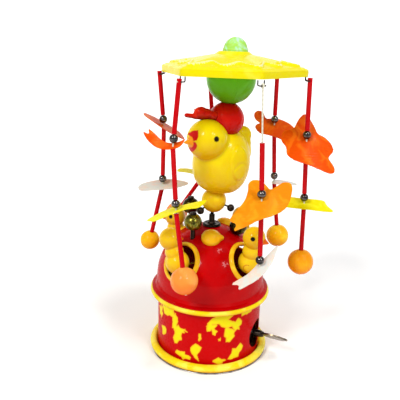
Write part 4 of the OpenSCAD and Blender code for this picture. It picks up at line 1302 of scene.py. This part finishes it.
# %% Cutting
def cut_sheet(outline, step=0.55):
    """A grid cut to an outline, with its edge points pulled onto it."""
    shape = bmesh.new()
    xs, ys = [p[0] for p in outline], [p[1] for p in outline]
    made = {}
    for i in range(int((max(xs) - min(xs)) / step) + 3):
        for j in range(int((max(ys) - min(ys)) / step) + 3):
            x, y = min(xs) + (i - 0.5) * step, min(ys) + (j - 0.5) * step
            if inside_by(x, y, outline) > -0.4 * step:
                made[i, j] = shape.verts.new((x, y, 0))
    for i, j in made:
        keys = [(i, j), (i + 1, j), (i + 1, j + 1), (i, j + 1)]
        if all(key in made for key in keys):
            shape.faces.new([made[key] for key in keys])
    for v in [v for v in shape.verts if not v.link_faces]:
        shape.verts.remove(v)
    edges = [(Vector(a), Vector(b)) for a, b in zip(outline, outline[1:] + outline[:1])]
    for v in [v for v in shape.verts if v.is_boundary]:
        pulled = [a.lerp(b, min(max((v.co.xy - a).dot(b - a) / (b - a).length_squared, 0), 1))
                  for a, b in edges]
        v.co.xy = min(pulled, key=lambda q: (q - v.co.xy).length)
    return shape


# %% Forming and hanging
VANES = [("a", "upper", "orange_vane", BOAT, -0.05, 0.1), ("a", "lower", "yellow_vane", RIBBON, 0.37, 2.4),
         ("b", "upper", "orange_vane", DART, -0.60, 2.6), ("b", "lower", "white_vane", BLADE, 0.06, 1.5),
         ("c", "upper", "amber_vane", BIRD, 0.10, 0.7), ("c", "lower", "white_vane", FEATHER, 0.30, 0.8),
         ("d", "upper", "orange_vane", LOBED, -0.10, 0.8), ("d", "lower", "white_vane", SLIVER, -0.08, 3.0),
         ("e", "upper", "orange_vane", FLOWER, 0.0, 0.6), ("e", "lower", "yellow_vane", PLUME, -0.10, 1.3),
         ("f", "upper", "orange_vane", DART, -0.60, 2.6), ("f", "lower", "yellow_vane", HORN, -0.3, 2.6)]
SHEET, HOLE_UP = 0.45, 1.4
TO_RIGHT, TO_UP, TO_BACK = Vector((1, 0, 0)), Vector((0, 0.304, 0.953)), Vector((0, 0.953, -0.304))
for k, level, finish, points, slope, depth in VANES:
    knee = JOINT[f"{k}_knee"]
    start, end = (HOOKS[k], knee) if level == "upper" else (knee, JOINT[f"{k}_ankle"])
    hole = end - (end - start).normalized() * HOLE_UP
    outline = rounded(points)
    shape = cut_sheet(outline)
    for v in shape.verts:
        x, y = v.co.x, v.co.y
        away = hypot(x, y)
        ripple = 0.5 * noise.noise(Vector((x * 0.11, y * 0.11, ord(k)))) * soft_step(away, 2, 8)
        rib = 0.12 * cos((y - slope * x) * 3.1) * soft_step(away, 8, 14)
        rim = 0.22 * (1 - soft_step(inside_by(x, y, outline), 0.2, 1.0))
        run = depth * (y - slope * x) + 0.012 * x * x + ripple + rib + rim
        v.co = hole + TO_RIGHT * x + TO_UP * y + TO_BACK * run
    bmesh.ops.recalc_face_normals(shape, faces=shape.faces)
    bmesh.ops.solidify(shape, geom=shape.faces[:], thickness=SHEET)
    vane = f"{k}_{level}_vane"
    place_piece(f"{vane}_pressed", shape, vane, [vane], [finish], crease=60)
print(len(VANES), "vanes hung")

# %% [markdown]
# ## Clockwork and kept parts
# The motor inside, the dome's shell and the key's bush keep their frame shapes. They only need their
# finishes: stamped brass wheels, steel plates and arbors, a blued spring, and red enamel.

# %% Finishes on kept parts
KEPT = {"dome_cover": "dome", "motor_frame": "steel", "mainspring": "black_wire", "key_bush": "black_wire",
        "spindle_pinion": "gear_brass", "winding_arbor": "steel",
        "great_wheel": "gear_brass", "second_arbor": "steel", "crown_wheel": "gear_brass"}
for node, key in KEPT.items():
    kept = frame["nodes"][node]
    kept.data.materials.clear()
    kept.data.materials.append(FINISH[key])
print(len(KEPT), "kept parts finished")

# %% Size and finish
size = {"cad": cad_box, "visual": [list(corner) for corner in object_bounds()]}
print("visual box", [[round(v * 1000, 1) for v in corner] for corner in size["visual"]])
